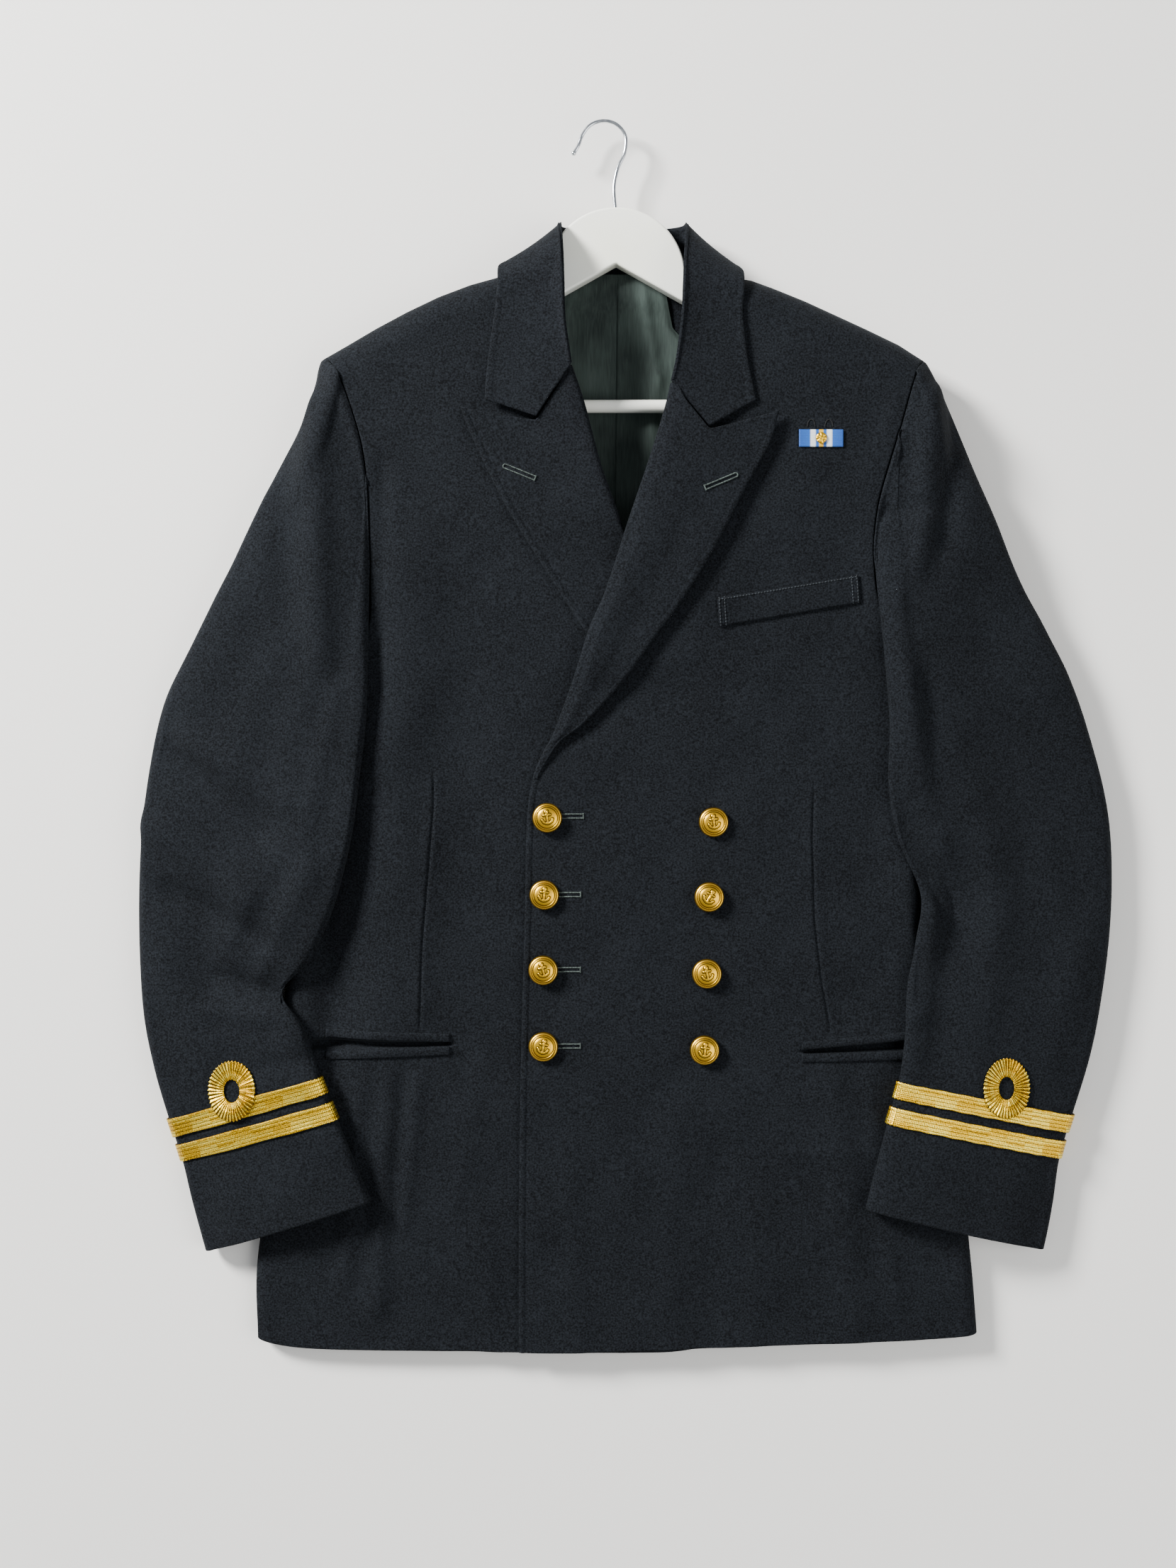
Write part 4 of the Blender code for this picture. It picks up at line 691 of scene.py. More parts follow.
def finish_of(name, colour, roughness, metallic, sockets=None):
    """A material's tree, Principled shader and a place to start its pattern from."""
    made = bpy.data.materials.new(name)
    made.use_nodes = True
    tree = made.node_tree
    shader = tree.nodes["Principled BSDF"]
    shader.inputs["Base Color"].default_value = linear(colour)
    shader.inputs["Roughness"].default_value = roughness
    shader.inputs["Metallic"].default_value = metallic
    for key, value in (sockets or {}).items():
        shader.inputs[key].default_value = value
    made.diffuse_color = linear(colour)
    where = tree.nodes.new("ShaderNodeTexCoord")
    return made, tree, shader, where


# %% Milled wool doeskin
def milled_doeskin(name, deep, pale, lint=0.006):
    """Mottle of 45 mm, tufts of 5 mm and nap of 1.3 mm, drawn coarser than its real 0.3 mm so that
    it shows, over a nearly black blue, with a few specks of lint."""
    made, tree, shader, where = finish_of(name, deep, 0.92, 0.0, {
        "Sheen Weight": 0.05, "Sheen Roughness": 0.4, "Sheen Tint": linear("#9aa3a8"),
        "Specular IOR Level": 0.08})
    at = where.outputs["Object"]
    mottle = add(tree, "ShaderNodeTexNoise", {"Vector": at, "Scale": 22.0, "Detail": 3.0})
    tuft = add(tree, "ShaderNodeTexNoise", {"Vector": at, "Scale": 210.0, "Detail": 3.0})
    nap = add(tree, "ShaderNodeTexNoise", {"Vector": at, "Scale": 760.0, "Detail": 2.0})
    broad = add(tree, "ShaderNodeMath", {"operation": "MULTIPLY_ADD", 0: mottle.outputs["Fac"], 1: 0.13, 2: 0.0})
    both = add(tree, "ShaderNodeMath", {"operation": "MULTIPLY_ADD", 0: tuft.outputs["Fac"], 1: 0.12,
                                        2: broad.outputs[0]})
    fine = add(tree, "ShaderNodeMath", {"operation": "MULTIPLY_ADD", 0: nap.outputs["Fac"], 1: 0.85,
                                        2: both.outputs[0]})
    shade = add(tree, "ShaderNodeValToRGB", {"Fac": fine.outputs[0], "stops": [
        (0.4, linear(deep)), (0.72, linear(pale))]})
    cell = add(tree, "ShaderNodeTexVoronoi", {"Vector": at, "Scale": 30.0})
    speck = add(tree, "ShaderNodeMath", {"operation": "LESS_THAN", 0: cell.outputs["Distance"], 1: lint * 2.2})
    chosen = add(tree, "ShaderNodeSeparateColor", {"Color": cell.outputs["Color"]})
    kept = add(tree, "ShaderNodeMath", {"operation": "GREATER_THAN", 0: chosen.outputs[0], 1: 0.72})
    some = add(tree, "ShaderNodeMath", {"operation": "MULTIPLY", 0: speck.outputs[0], 1: kept.outputs[0]})
    seen = add(tree, "ShaderNodeMixRGB", {"Fac": some.outputs[0], "Color1": shade.outputs["Color"],
                                          "Color2": linear("#6a7074")})
    tree.links.new(seen.outputs[0], shader.inputs["Base Color"])
    bump = add(tree, "ShaderNodeBump", {"Height": fine.outputs[0], "Strength": 0.5, "Distance": 0.0006})
    tree.links.new(bump.outputs["Normal"], shader.inputs["Normal"])
    return made


doeskin = milled_doeskin("milled_wool_doeskin", "#07080a", "#1b1e22")


# %% Warp-faced satin of the lining
def warp_satin(name):
    """Satin shows long floats along the warp: a noise stretched twelve times along Y, a soft gloss,
    and a slow change from grey to green where the cloth has rubbed."""
    made, tree, shader, where = finish_of(name, "#2c3431", 0.76, 0.0, {
        "Sheen Weight": 0.05, "Sheen Tint": linear("#9fb0a6"), "Specular IOR Level": 0.14})
    turn = add(tree, "ShaderNodeMapping", {"Vector": where.outputs["Object"], "Scale": (1.0, 0.08, 1.0)})
    floats = add(tree, "ShaderNodeTexNoise", {"Vector": turn.outputs[0], "Scale": 900.0, "Detail": 2.0})
    rubbed = add(tree, "ShaderNodeTexNoise", {"Vector": where.outputs["Object"], "Scale": 26.0, "Detail": 2.0})
    mixed = add(tree, "ShaderNodeMath", {"operation": "MULTIPLY_ADD", 0: floats.outputs["Fac"], 1: 0.5,
                                         2: rubbed.outputs["Fac"]})
    shade = add(tree, "ShaderNodeValToRGB", {"Fac": mixed.outputs[0], "stops": [
        (0.45, linear("#222927")), (1.0, linear("#444f4a"))]})
    tree.links.new(shade.outputs["Color"], shader.inputs["Base Color"])
    bump = add(tree, "ShaderNodeBump", {"Height": floats.outputs["Fac"], "Strength": 0.2, "Distance": 0.0003})
    tree.links.new(bump.outputs["Normal"], shader.inputs["Normal"])
    return made


satin = warp_satin("warp_faced_satin")


# %% Woven gilt wire
def gilt_lace(name, lines, axis, share, depth):
    """U runs along the lace in mm and V across it in mm. Dark lines of painted shade lie in the grooves between the
    ridges and between the pleats, the wire's floats change brightness in blocks about 14 mm long, and the wire
    itself is 0.6 mm."""
    made, tree, shader, where = finish_of(name, "#d9b23c", 0.36, 1.0)
    mm = add(tree, "ShaderNodeSeparateXYZ", {"Vector": where.outputs["UV"]})
    blocks_at = add(tree, "ShaderNodeMapping", {"Vector": where.outputs["UV"], "Scale": (0.07, 0.37, 1.0)})
    blocks = add(tree, "ShaderNodeTexVoronoi", {"Vector": blocks_at.outputs[0], "Scale": 1.0, "Randomness": 0.25})
    tone = add(tree, "ShaderNodeSeparateColor", {"Color": blocks.outputs["Color"]})
    wire = add(tree, "ShaderNodeTexWave", {"Vector": where.outputs["UV"], "Scale": 0.26, "Distortion": 0.3,
                                           "Detail": 1.0, "bands_direction": "X"})
    grain = add(tree, "ShaderNodeTexNoise", {"Vector": where.outputs["UV"], "Scale": 1.1, "Detail": 3.0})
    lit = add(tree, "ShaderNodeMath", {"operation": "MULTIPLY_ADD", 0: tone.outputs[0], 1: 0.25,
                                       2: grain.outputs["Fac"]})
    shade = add(tree, "ShaderNodeValToRGB", {"Fac": lit.outputs[0], "stops": [
        (0.35, linear("#8e6a0a")), (0.6, linear("#dcae1c")), (0.9, linear("#fff06a"))]})
    band = add(tree, "ShaderNodeMath", {"operation": "FRACT", 0: add(tree, "ShaderNodeMath", {
        "operation": "MULTIPLY", 0: mm.outputs[axis], 1: lines}).outputs[0]})
    # Painted shade: this mask darkens the grooves between the ridges, and between the loop's pleats, to a dark
    # brown.
    line = add(tree, "ShaderNodeMath", {"operation": "LESS_THAN", 0: band.outputs[0], 1: share})
    groove_shade = add(tree, "ShaderNodeMath", {"operation": "MULTIPLY", 0: line.outputs[0], 1: depth})
    seen = add(tree, "ShaderNodeMixRGB", {"Fac": groove_shade.outputs[0], "Color1": shade.outputs["Color"],
                                          "Color2": linear("#4a2e06")})
    tree.links.new(seen.outputs[0], shader.inputs["Base Color"])
    rough = add(tree, "ShaderNodeMapRange", {"Value": grain.outputs["Fac"], "To Min": 0.3, "To Max": 0.55})
    tree.links.new(rough.outputs[0], shader.inputs["Roughness"])
    relief = add(tree, "ShaderNodeMath", {"operation": "MULTIPLY_ADD", 0: wire.outputs["Fac"], 1: 0.6,
                                          2: grain.outputs["Fac"]})
    bump = add(tree, "ShaderNodeBump", {"Height": relief.outputs[0], "Strength": 0.6, "Distance": 0.0004})
    tree.links.new(bump.outputs["Normal"], shader.inputs["Normal"])
    return made


lace_gold = gilt_lace("woven_gilt_wire", 0.37, "Y", 0.2, 0.85)
loop_gold = gilt_lace("pleated_gilt_wire", 0.5, "X", 0.44, 0.9)


# %% Stamped and gilt brass
def gilt_brass(name):
    """Buttons are stamped from brass and gilt. U is the share of the radius, so the grooves each side of the raised
    ring are painted dark as their shade, and the rim is a little duller."""
    made, tree, shader, where = finish_of(name, "#d8a546", 0.34, 1.0)
    out = add(tree, "ShaderNodeSeparateXYZ", {"Vector": where.outputs["UV"]})
    stain = add(tree, "ShaderNodeTexNoise", {"Vector": where.outputs["Object"], "Scale": 140.0, "Detail": 2.0})
    # Painted shade: the dark stops at 0.7 and 0.82 fall in the two grooves beside the raised ring.
    ring = add(tree, "ShaderNodeValToRGB", {"Fac": out.outputs["X"], "stops": [
        (0.0, linear("#e6b832")), (0.62, linear("#dcac2a")), (0.7, linear("#4e3406")),
        (0.76, linear("#ecc03c")), (0.82, linear("#7c560e")), (0.9, linear("#e0b23c")),
        (1.0, linear("#a87e20"))]})
    soiled = add(tree, "ShaderNodeMixRGB", {
        "blend_type": "MULTIPLY", "Fac": 0.1, "Color1": ring.outputs["Color"],
        "Color2": stain.outputs["Color"]})
    tree.links.new(soiled.outputs[0], shader.inputs["Base Color"])
    rough = add(tree, "ShaderNodeMapRange", {"Value": stain.outputs["Fac"], "To Min": 0.28, "To Max": 0.46})
    tree.links.new(rough.outputs[0], shader.inputs["Roughness"])
    return made


brass = gilt_brass("gilt_stamped_brass")


# %% Ribbon silk, lacquer, chrome and thread
def ribbed_silk(name, stripes):
    """Medal ribbon is ribbed silk: U is its width from 0 to 1 with a stripe table, and the ribs run
    across it 0.7 mm apart."""
    made, tree, shader, where = finish_of(name, "#2a7fd0", 0.6, 0.0, {"Sheen Weight": 0.05})
    mm = add(tree, "ShaderNodeSeparateXYZ", {"Vector": where.outputs["UV"]})
    shade = add(tree, "ShaderNodeValToRGB", {"Fac": mm.outputs["X"], "stops": [
        (place, linear(code)) for place, code in stripes]})
    ribs = add(tree, "ShaderNodeTexWave", {"Vector": where.outputs["Object"], "Scale": 450.0,
                                           "Distortion": 0.4, "bands_direction": "Y"})
    worn = add(tree, "ShaderNodeTexNoise", {"Vector": where.outputs["Object"], "Scale": 300.0, "Detail": 3.0})
    soft = add(tree, "ShaderNodeMixRGB", {
        "blend_type": "MULTIPLY", "Fac": 0.25, "Color1": shade.outputs["Color"],
        "Color2": worn.outputs["Color"]})
    tree.links.new(soft.outputs[0], shader.inputs["Base Color"])
    bump = add(tree, "ShaderNodeBump", {"Height": ribs.outputs["Fac"], "Strength": 0.5, "Distance": 0.0002})
    tree.links.new(bump.outputs["Normal"], shader.inputs["Normal"])
    return made


def brushed_on_lacquer(name):
    """Wood under thick white lacquer: a faint orange peel of 6 mm and slow yellowing."""
    made, tree, shader, where = finish_of(name, "#eef0e2", 0.32, 0.0, {
        "Coat Weight": 0.4, "Coat Roughness": 0.12})
    peel = add(tree, "ShaderNodeTexNoise", {"Vector": where.outputs["Object"], "Scale": 160.0, "Detail": 2.0})
    aged = add(tree, "ShaderNodeTexNoise", {"Vector": where.outputs["Object"], "Scale": 14.0, "Detail": 2.0})
    shade = add(tree, "ShaderNodeValToRGB", {"Fac": aged.outputs["Fac"], "stops": [
        (0.3, linear("#fdfef6")), (0.8, linear("#f4f4e2"))]})
    tree.links.new(shade.outputs["Color"], shader.inputs["Base Color"])
    bump = add(tree, "ShaderNodeBump", {"Height": peel.outputs["Fac"], "Strength": 0.12, "Distance": 0.0005})
    tree.links.new(bump.outputs["Normal"], shader.inputs["Normal"])
    return made


def drawn_chrome(name):
    """Drawn steel wire with a thin chrome plate and fine scuffs 3 mm long."""
    made, tree, shader, where = finish_of(name, "#c8ccd0", 0.14, 1.0)
    scuffs = add(tree, "ShaderNodeTexNoise", {"Vector": where.outputs["Object"], "Scale": 330.0, "Detail": 4.0})
    rough = add(tree, "ShaderNodeMapRange", {"Value": scuffs.outputs["Fac"], "To Min": 0.08, "To Max": 0.3})
    tree.links.new(rough.outputs[0], shader.inputs["Roughness"])
    shade = add(tree, "ShaderNodeValToRGB", {"Fac": scuffs.outputs["Fac"], "stops": [
        (0.2, linear("#aeb3b8")), (0.8, linear("#dfe2e4"))]})
    tree.links.new(shade.outputs["Color"], shader.inputs["Base Color"])
    return made


def twisted_thread(name, deep, pale):
    """Silk buttonhole twist: light and dark strands every 0.8 mm."""
    made, tree, shader, where = finish_of(name, deep, 0.75, 0.0, {
        "Sheen Weight": 0.05, "Specular IOR Level": 0.3})
    strand = add(tree, "ShaderNodeTexNoise", {"Vector": where.outputs["Object"], "Scale": 900.0, "Detail": 2.0})
    shade = add(tree, "ShaderNodeValToRGB", {"Fac": strand.outputs["Fac"], "stops": [
        (0.35, linear(deep)), (0.65, linear(pale))]})
    tree.links.new(shade.outputs["Color"], shader.inputs["Base Color"])
    bump = add(tree, "ShaderNodeBump", {"Height": strand.outputs["Fac"], "Strength": 0.5, "Distance": 0.0003})
    tree.links.new(bump.outputs["Normal"], shader.inputs["Normal"])
    return made


silk = ribbed_silk("ribbed_ribbon_silk", [
    (0.0, "#0f4a98"), (0.24, "#1257a8"), (0.27, "#dfe4e6"), (0.36, "#dfe4e6"), (0.39, "#1257a8"),
    (0.44, "#1257a8"), (0.46, "#d9a91e"), (0.54, "#d9a91e"), (0.56, "#1257a8"), (0.61, "#1257a8"), (0.64, "#dfe4e6"),
    (0.73, "#dfe4e6"), (0.76, "#1257a8"), (1.0, "#0f4a98")])
lacquer = brushed_on_lacquer("white_lacquer_on_beech")
chrome = drawn_chrome("chromed_drawn_wire")
hole_thread = twisted_thread("silk_buttonhole_twist", "#222927", "#4c5651")
dark_thread = twisted_thread("navy_sewing_thread", "#14171a", "#30363b")
black_thread = twisted_thread("black_sewing_thread", "#030304", "#0e1011")
print("materials:", len(bpy.data.materials))

# %% [markdown]
# ## Relief of the fronts
# Wool pressed by an iron isn't flat. The darts are sewn ridges with a groove down the middle, the
# hip pockets gape towards the sides, each button pulls a shallow dimple, and broad soft folds run
# down the body. They are bells and grooves across short lines, added to the front's height.

# %% Folds, darts and pocket mouths
BODY_FOLDS = table("x0 y0 x1 y1 half high", [
    (-176, 190, -178, 40, 9, -2.6), (186, 140, 190, 60, 8, -2.0), (-158, 150, -164, -190, 24, 3.6),
    (-205, 30, -200, -200, 14, -3.2), (-224, -90, -212, -220, 13, -6.0), (-112, 60, -112, -120, 22, -1.6),
    (-172, -250, -180, -410, 8, 2.2), (-150, -250, -160, -350, 6, 1.6), (-192, -256, -204, -390, 7, 1.8),
    (-161, -250, -170, -360, 5, -1.2), (-120, -218, -112, -248, 9, -1.8), (-108, -240, -120, -330, 9, 1.2),
    (-40, -300, -34, -440, 9, 1.3), (36, -270, 30, -440, 12, 1.4), (66, -300, 60, -440, 9, -1.0),
    (150, -250, 166, -420, 12, 2.0), (176, -250, 196, -410, 8, 1.6), (196, -60, 205, -200, 14, 2.0),
    (172, -110, 214, -180, 12, -2.0), (120, -302, 210, -296, 8, 1.2), (-120, 40, -150, -60, 22, -1.2),
    (110, 60, 170, -30, 22, -1.6), (92, -440, 98, -330, 9, 1.0), (-96, -440, -104, -340, 9, 1.1),
    (-200, 200, -192, 90, 12, 2.4), (196, 230, 186, 110, 11, 2.4), (150, 180, 172, 60, 18, -1.4),
    (-150, 200, -168, 80, 16, -1.4), (60, 20, 130, -20, 14, 1.0), (0, -60, 6, -200, 16, 0.8)])
DARTS = {
    "right": np.array([(-138, -17), (-138, -49), (-142.5, -103), (-146.5, -151), (-148.5, -209)], float),
    "left": np.array([(134.5, -25), (133.5, -70), (135.5, -133), (140.5, -174), (147, -210)], float)}
MOUTHS = np.array([(128, -226, 208, -221.3, 1.5, 3.9), (-129, -221, -226, -221.6, 1.4, 3.4)])
UNEVEN = [(0.021, 0.013, 0.4, 0.35), (-0.012, 0.024, 1.9, 0.35), (0.034, -0.027, 3.1, 0.22),
          (0.051, 0.038, 5.2, 0.14), (-0.062, 0.045, 0.7, 0.12)]


def to_line(x, y, line):
    """Distance to a polyline and the share walked along it, nearest stretch first."""
    best, share = np.full(np.shape(x), 1e9), np.zeros(np.shape(x))
    stretches = len(line) - 1
    for k, (a, b) in enumerate(zip(line[:-1], line[1:])):
        run = b - a
        t = np.clip(((x - a[0]) * run[0] + (y - a[1]) * run[1]) / run.dot(run), 0, 1)
        away = np.hypot(x - a[0] - t * run[0], y - a[1] - t * run[1])
        share = np.where(away < best, (k + t) / stretches, share)
        best = np.minimum(best, away)
    return best, share


def unevenness(x, y):
    """Sum of long sine waves across x and y, under half a millimetre each."""
    return sum(high * np.sin(2 * math.pi * (fx * x + fy * y) / 2.5 + turn) for fx, fy, turn, high in UNEVEN)


def front_relief(x, y, side):
    """Soft folds and waves, a dart's groove of 0.8 mm in a low ridge, the pockets' pressed mouths,
    and a dimple of 0.9 mm at each button."""
    total = folds_height(x, y, BODY_FOLDS) + unevenness(x, y)
    away, share = to_line(x, y, DARTS[side])
    strength = smooth(share / 0.15) * smooth((1.02 - share) / 0.05)
    total = total + strength * (0.9 * np.exp(-(away / 8) ** 2) - 1.2 * np.exp(-(away / 1.0) ** 2))
    for x0, y0, x1, y1, narrow, wide in MOUTHS:
        away, share = to_line(x, y, np.array([(x0, y0), (x1, y1)]))
        half = narrow + (wide - narrow) * share
        total = total - (5.5 + 2 * share) * np.exp(-(away / half) ** 4) + 0.8 * np.exp(-(away / 12) ** 2)
    for bx, by in zip(BUTTONS["x"], BUTTONS["y"]):
        total = total - 0.8 * np.exp(-((x - bx) ** 2 + (y - by) ** 2) / 17 ** 2)
    return total


def stitched(distance, puff=0.5, groove=0.22):
    """A rounded edge, a puffed welt of 5.2 mm, then a shallow groove where the stitches pull."""
    welt = puff * np.sin(math.pi * np.clip(distance / 5.2, 0, 1)) - 0.5 * np.exp(-distance / 0.8)
    return welt - groove * np.exp(-((distance - 5.6) / 0.9) ** 2)


# %% [markdown]
# ## The fronts
# The wearer's left front laps over the right one. Its grid runs from the front edge to the armhole
# or side seam, with closer columns at the stitched edge and round the side, because that is where
# the light turns. Above the break the edge is drawn in to leave room for the lapel's roll.

# %% Fine grids of the fronts
EDGE_STEPS = np.array([0, 0.2, 0.6, 1.2, 2.2, 3.4, 4.2, 4.8, 5.2, 5.6, 6.2, 7.2, 9.2])
SIDE_STEPS = SIDE_RADIUS * (1 - np.cos(np.radians([0, 9, 18, 27, 36, 45, 54, 63, 72, 81, 90])))
DART_STEPS = np.array([-5.0, -3.2, -2.0, -1.2, -0.6, 0, 0.6, 1.2, 2.0, 3.2, 5.0])
BREAK_Y = {"left": -31.0, "right": 66.0}
ROLL_SOFT = 4.2
BASE_RADIUS = (LAYER_GAP + 2 * WALL) / 2
END_STEPS = np.array([0, 0.2, 0.6, 1.2, 2.0, 3.2])


def fine_rows(side):
    """Row values: closely round the shoulder's ridge, even to the hem, and closely at the hem."""
    shoulder = 1.1 * (1 - np.cos(np.radians(np.arange(0, 90, 9))))
    return np.concatenate([shoulder, np.linspace(1.12, 9, 66), np.linspace(9, 14.36, 84)[1:],
                           np.linspace(14.38, 14.66, 28), np.linspace(14.7, 17.93, 52), 18 - END_STEPS[::-1] / 58])


def front_face(side, rows, between):
    """Points of a front, with each point's distance from the front edge and from the side."""
    rows = rows[:, None]
    tab = FRONT[side]
    inner_x, inner_y = column(tab, "inner_x", rows), column(tab, "inner_y", rows)
    outer_x, outer_y = column(tab, "outer_x", rows), column(tab, "outer_y", rows)
    width = np.abs(outer_x - inner_x)
    rolled = smooth((inner_y - BREAK_Y[side]) / 22) * smooth(rows / 0.6)
    start = (rolled * (BASE_RADIUS + 1.4) + EDGE_STEPS[None, :]) / width
    stop = 1 - SIDE_STEPS[None, ::-1] / width
    dart = DARTS[side]
    dart_x = np.interp(-(inner_y + outer_y) / 2, -dart[:, 1], dart[:, 0])
    gathered = (np.abs(dart_x - inner_x) + DART_STEPS[None, :]) / width
    part = np.linspace(0, 1, between // 2 + 2)[None, 1:-1]
    across = np.hstack([start, start[:, -1:] + (gathered[:, :1] - start[:, -1:]) * part, gathered,
                        gathered[:, -1:] + (stop[:, :1] - gathered[:, -1:]) * part, stop])
    x = inner_x + (outer_x - inner_x) * across
    straight = inner_y + (outer_y - inner_y) * across
    ridge = np.interp(x, SHOULDER["x"], SHOULDER["y"]) - straight
    sag = HEM_SAG[side] * (1 - (2 * across - 1) ** 8)
    y = straight + ridge * np.clip(1 - rows / 3, 0, 1) ** 2 - sag * smooth((rows - 15) / 3)
    return x, y, across * width, (1 - across) * width, rolled


def front_top(x, y, side, from_side=99.0):
    """Outer height of a front with its relief, which fades at the armhole, side and shoulder."""
    ridge = np.interp(x, SHOULDER["x"], SHOULDER["y"]) - y
    return front_height(x, y, side) + front_relief(x, y, side) * smooth(from_side / 14) * smooth(ridge / 20)


def fine_front(side, paint):
    """One front: its face from the tables, then the shell."""
    rows = fine_rows(side)
    x, y, from_edge, from_side, rolled = front_face(side, rows, 104)
    z = front_top(x, y, side, from_side)
    z = z + stitched(from_edge) * (1 - rolled) * smooth(from_side / 14)
    z = z + SEAM_GAP / 2 * (1 - smooth(from_side / 4)) + SEAM_GAP / 2 * (1 - smooth(rows[:, None] / 0.2))
    face = np.stack([x, y, z], axis=-1)
    return cloth_shell(f"dressed_front_{side}", face, WALL, (0, 0, 1), paint, f"front_{side}")


def fine_back(side, paint):
    """One back half: a plain finish, with the centre seam down its straight edge."""
    rows = np.concatenate([1.1 * (1 - np.cos(np.radians(np.arange(0, 90, 15)))), np.linspace(1.15, 17.9, 92),
                           18 - END_STEPS[::-1] / 58])[:, None]
    tab = FRONT[side]
    outer_x, outer_y = column(tab, "outer_x", rows), column(tab, "outer_y", rows)
    hem = outer_y[-1, 0] - 6
    upper = 340 + (ARMPIT_Y - 340) * rows / ARMPIT_ROW
    lower = ARMPIT_Y + (hem - ARMPIT_Y) * (rows - ARMPIT_ROW) / (18 - ARMPIT_ROW)
    middle_y = np.where(rows < ARMPIT_ROW, upper, lower)
    width = np.abs(outer_x - CENTRE_X)
    start = END_STEPS[None, :] / width
    stop = 1 - SIDE_STEPS[None, ::-1] / width
    part = np.linspace(0, 1, 44)[None, 1:-1]
    across = np.hstack([start, start[:, -1:] + (stop[:, :1] - start[:, -1:]) * part, stop])
    x = CENTRE_X + (outer_x - CENTRE_X) * across
    straight = middle_y + (outer_y - middle_y) * across
    top = np.where(np.abs(x - CENTRE_X) < 53, 340.5, np.interp(x, SHOULDER["x"], SHOULDER["y"]))
    y = straight + (top - straight) * np.clip(1 - rows / 3, 0, 1) ** 2
    x[:, 0] += 0.15 * (1 if side == "left" else -1)
    from_side = (1 - across) * width
    z = back_height(x, y, side) - SEAM_GAP / 2 * (1 - smooth(from_side / 4))
    face = np.stack([x, y, np.maximum(z, 0)], axis=-1)
    return cloth_shell(f"dressed_back_{side}", face, WALL, (0, 0, -1), paint, f"back_{side}")


cloth_pieces = {}
for side in ("left", "right"):
    cloth_pieces[f"front_{side}"] = fine_front(side, doeskin)
    cloth_pieces[f"back_{side}"] = fine_back(side, doeskin)
print({k: len(v.data.polygons) for k, v in cloth_pieces.items()})

# %% [markdown]
# ## The lapels
# A lapel is the front's own facing turned back along the roll line, so its shell starts under the
# front's edge, goes round the roll as a half circle and then lies on the front. A pressed lapel
# keeps a soft roll that flattens towards the break, and its outer edge is stitched.

# %% Lapels
LAPEL_EDGE_LIFT = {"left": 3.4, "right": 2.6}
LAPEL_STITCH = {"left": (0.2, 0.07), "right": (0.55, 0.2)}
LAPEL_DOME = {"left": 3.0, "right": 1.2}


def fine_lapel(side, paint):
    """Columns go round the roll by angle and then out to the edge by distance; rows go from the
    gorge to the break. Height is the front's top, a gap, a wall, the roll's bell and the edge's lift."""
    tab = LAPEL[side]
    last = len(tab["roll_x"]) - 1
    rows = np.concatenate([[0, 0.006, 0.02, 0.04, 0.08, 0.12, 0.145, 0.165, 0.18, 0.2, 0.23, 0.28],
                           np.linspace(0.35, last - 0.05, 100), [last - 0.02, last]])[:, None]
    roll = np.concatenate([column(tab, "roll_x", rows), column(tab, "roll_y", rows)], axis=1)
    edge = np.concatenate([column(tab, "edge_x", rows), column(tab, "edge_y", rows)], axis=1)
    size = np.linalg.norm(edge - roll, axis=1)[:, None]
    way = (edge - roll) / size
    ends = EDGE_STEPS[None, :] * np.clip(size / 30, 0.08, 1)
    part = np.linspace(0, 1, 42)[None, :-1]
    flat = part * (size - ends[:, -1:])
    distance = np.hstack([flat, size - ends[:, ::-1]])
    x = roll[:, :1] + way[:, :1] * distance
    y = roll[:, 1:] + way[:, 1:] * distance
    across = distance / size
    notch = np.array(NOTCH[side])
    along = (notch[0] - roll[0, 0]) / (edge[0, 0] - roll[0, 0])
    straight = roll[0, 1] + (edge[0, 1] - roll[0, 1]) * along
    dip = np.interp(across, [0, along, 1], [0, notch[1] - straight, 0])
    y = y + dip * np.clip(1 - rows / 1.6, 0, 1)
    ending = smooth(size / 45)
    soft = ROLL_SOFT * ending
    if side == "right":
        soft = soft * np.clip((roll[:, 1:] - 128) / 40, 0, 1)
    settle = soft * np.exp(-(distance / (12 + 0.3 * size)) ** 2)
    dome = LAPEL_DOME[side] * np.sin(math.pi * across ** 0.8)
    lift = (dome + LAPEL_EDGE_LIFT[side] * smooth((across - 0.5) / 0.5)) * ending - 1.5 * (1 - smooth(size / 9))
    from_top = walked(np.stack([x, y, 0 * x], axis=-1), 0)
    stitched_edge = stitched(size - distance, *LAPEL_STITCH[side]) * smooth(size / 30)
    top_edge = stitched(from_top, 0.2, 0.07) * smooth((across - along) / 0.06)
    base = front_top(x, y, side) + LAYER_GAP + WALL
    z = base + settle + lift + stitched_edge + np.where(size - distance > 5.2, top_edge, 0)
    radius = (z[:, :1] - base[:, :1] + LAYER_GAP + 2 * WALL) / 2
    angle = np.radians(np.linspace(-90, 78, 15))[None, :]
    middle = z[:, :1] - radius
    bend = radius * (1 - np.cos(angle))
    wrap = np.stack([roll[:, :1] + way[:, :1] * bend, roll[:, 1:] + way[:, 1:] * bend,
                     middle + radius * np.sin(angle)], axis=-1)
    beyond = distance + radius * smooth(1 - distance / 12)
    x = x + way[:, :1] * (beyond - distance)
    y = y + way[:, 1:] * (beyond - distance)
    face = np.concatenate([wrap, np.stack([x, y, z], axis=-1)], axis=1)
    return cloth_shell(f"dressed_lapel_{side}", face, WALL, (0, 0, 1), paint, f"lapel_{side}",
                       soft=0.9)


for side in ("right", "left"):
    cloth_pieces[f"lapel_{side}"] = fine_lapel(side, doeskin)

# %% [markdown]
# ## The collar
# A collar is a stand that rises from the neck seam and a fall that turns over it. Its sections come
# straight from the frame's table; a cubic through nine points of each gives the turned crease.

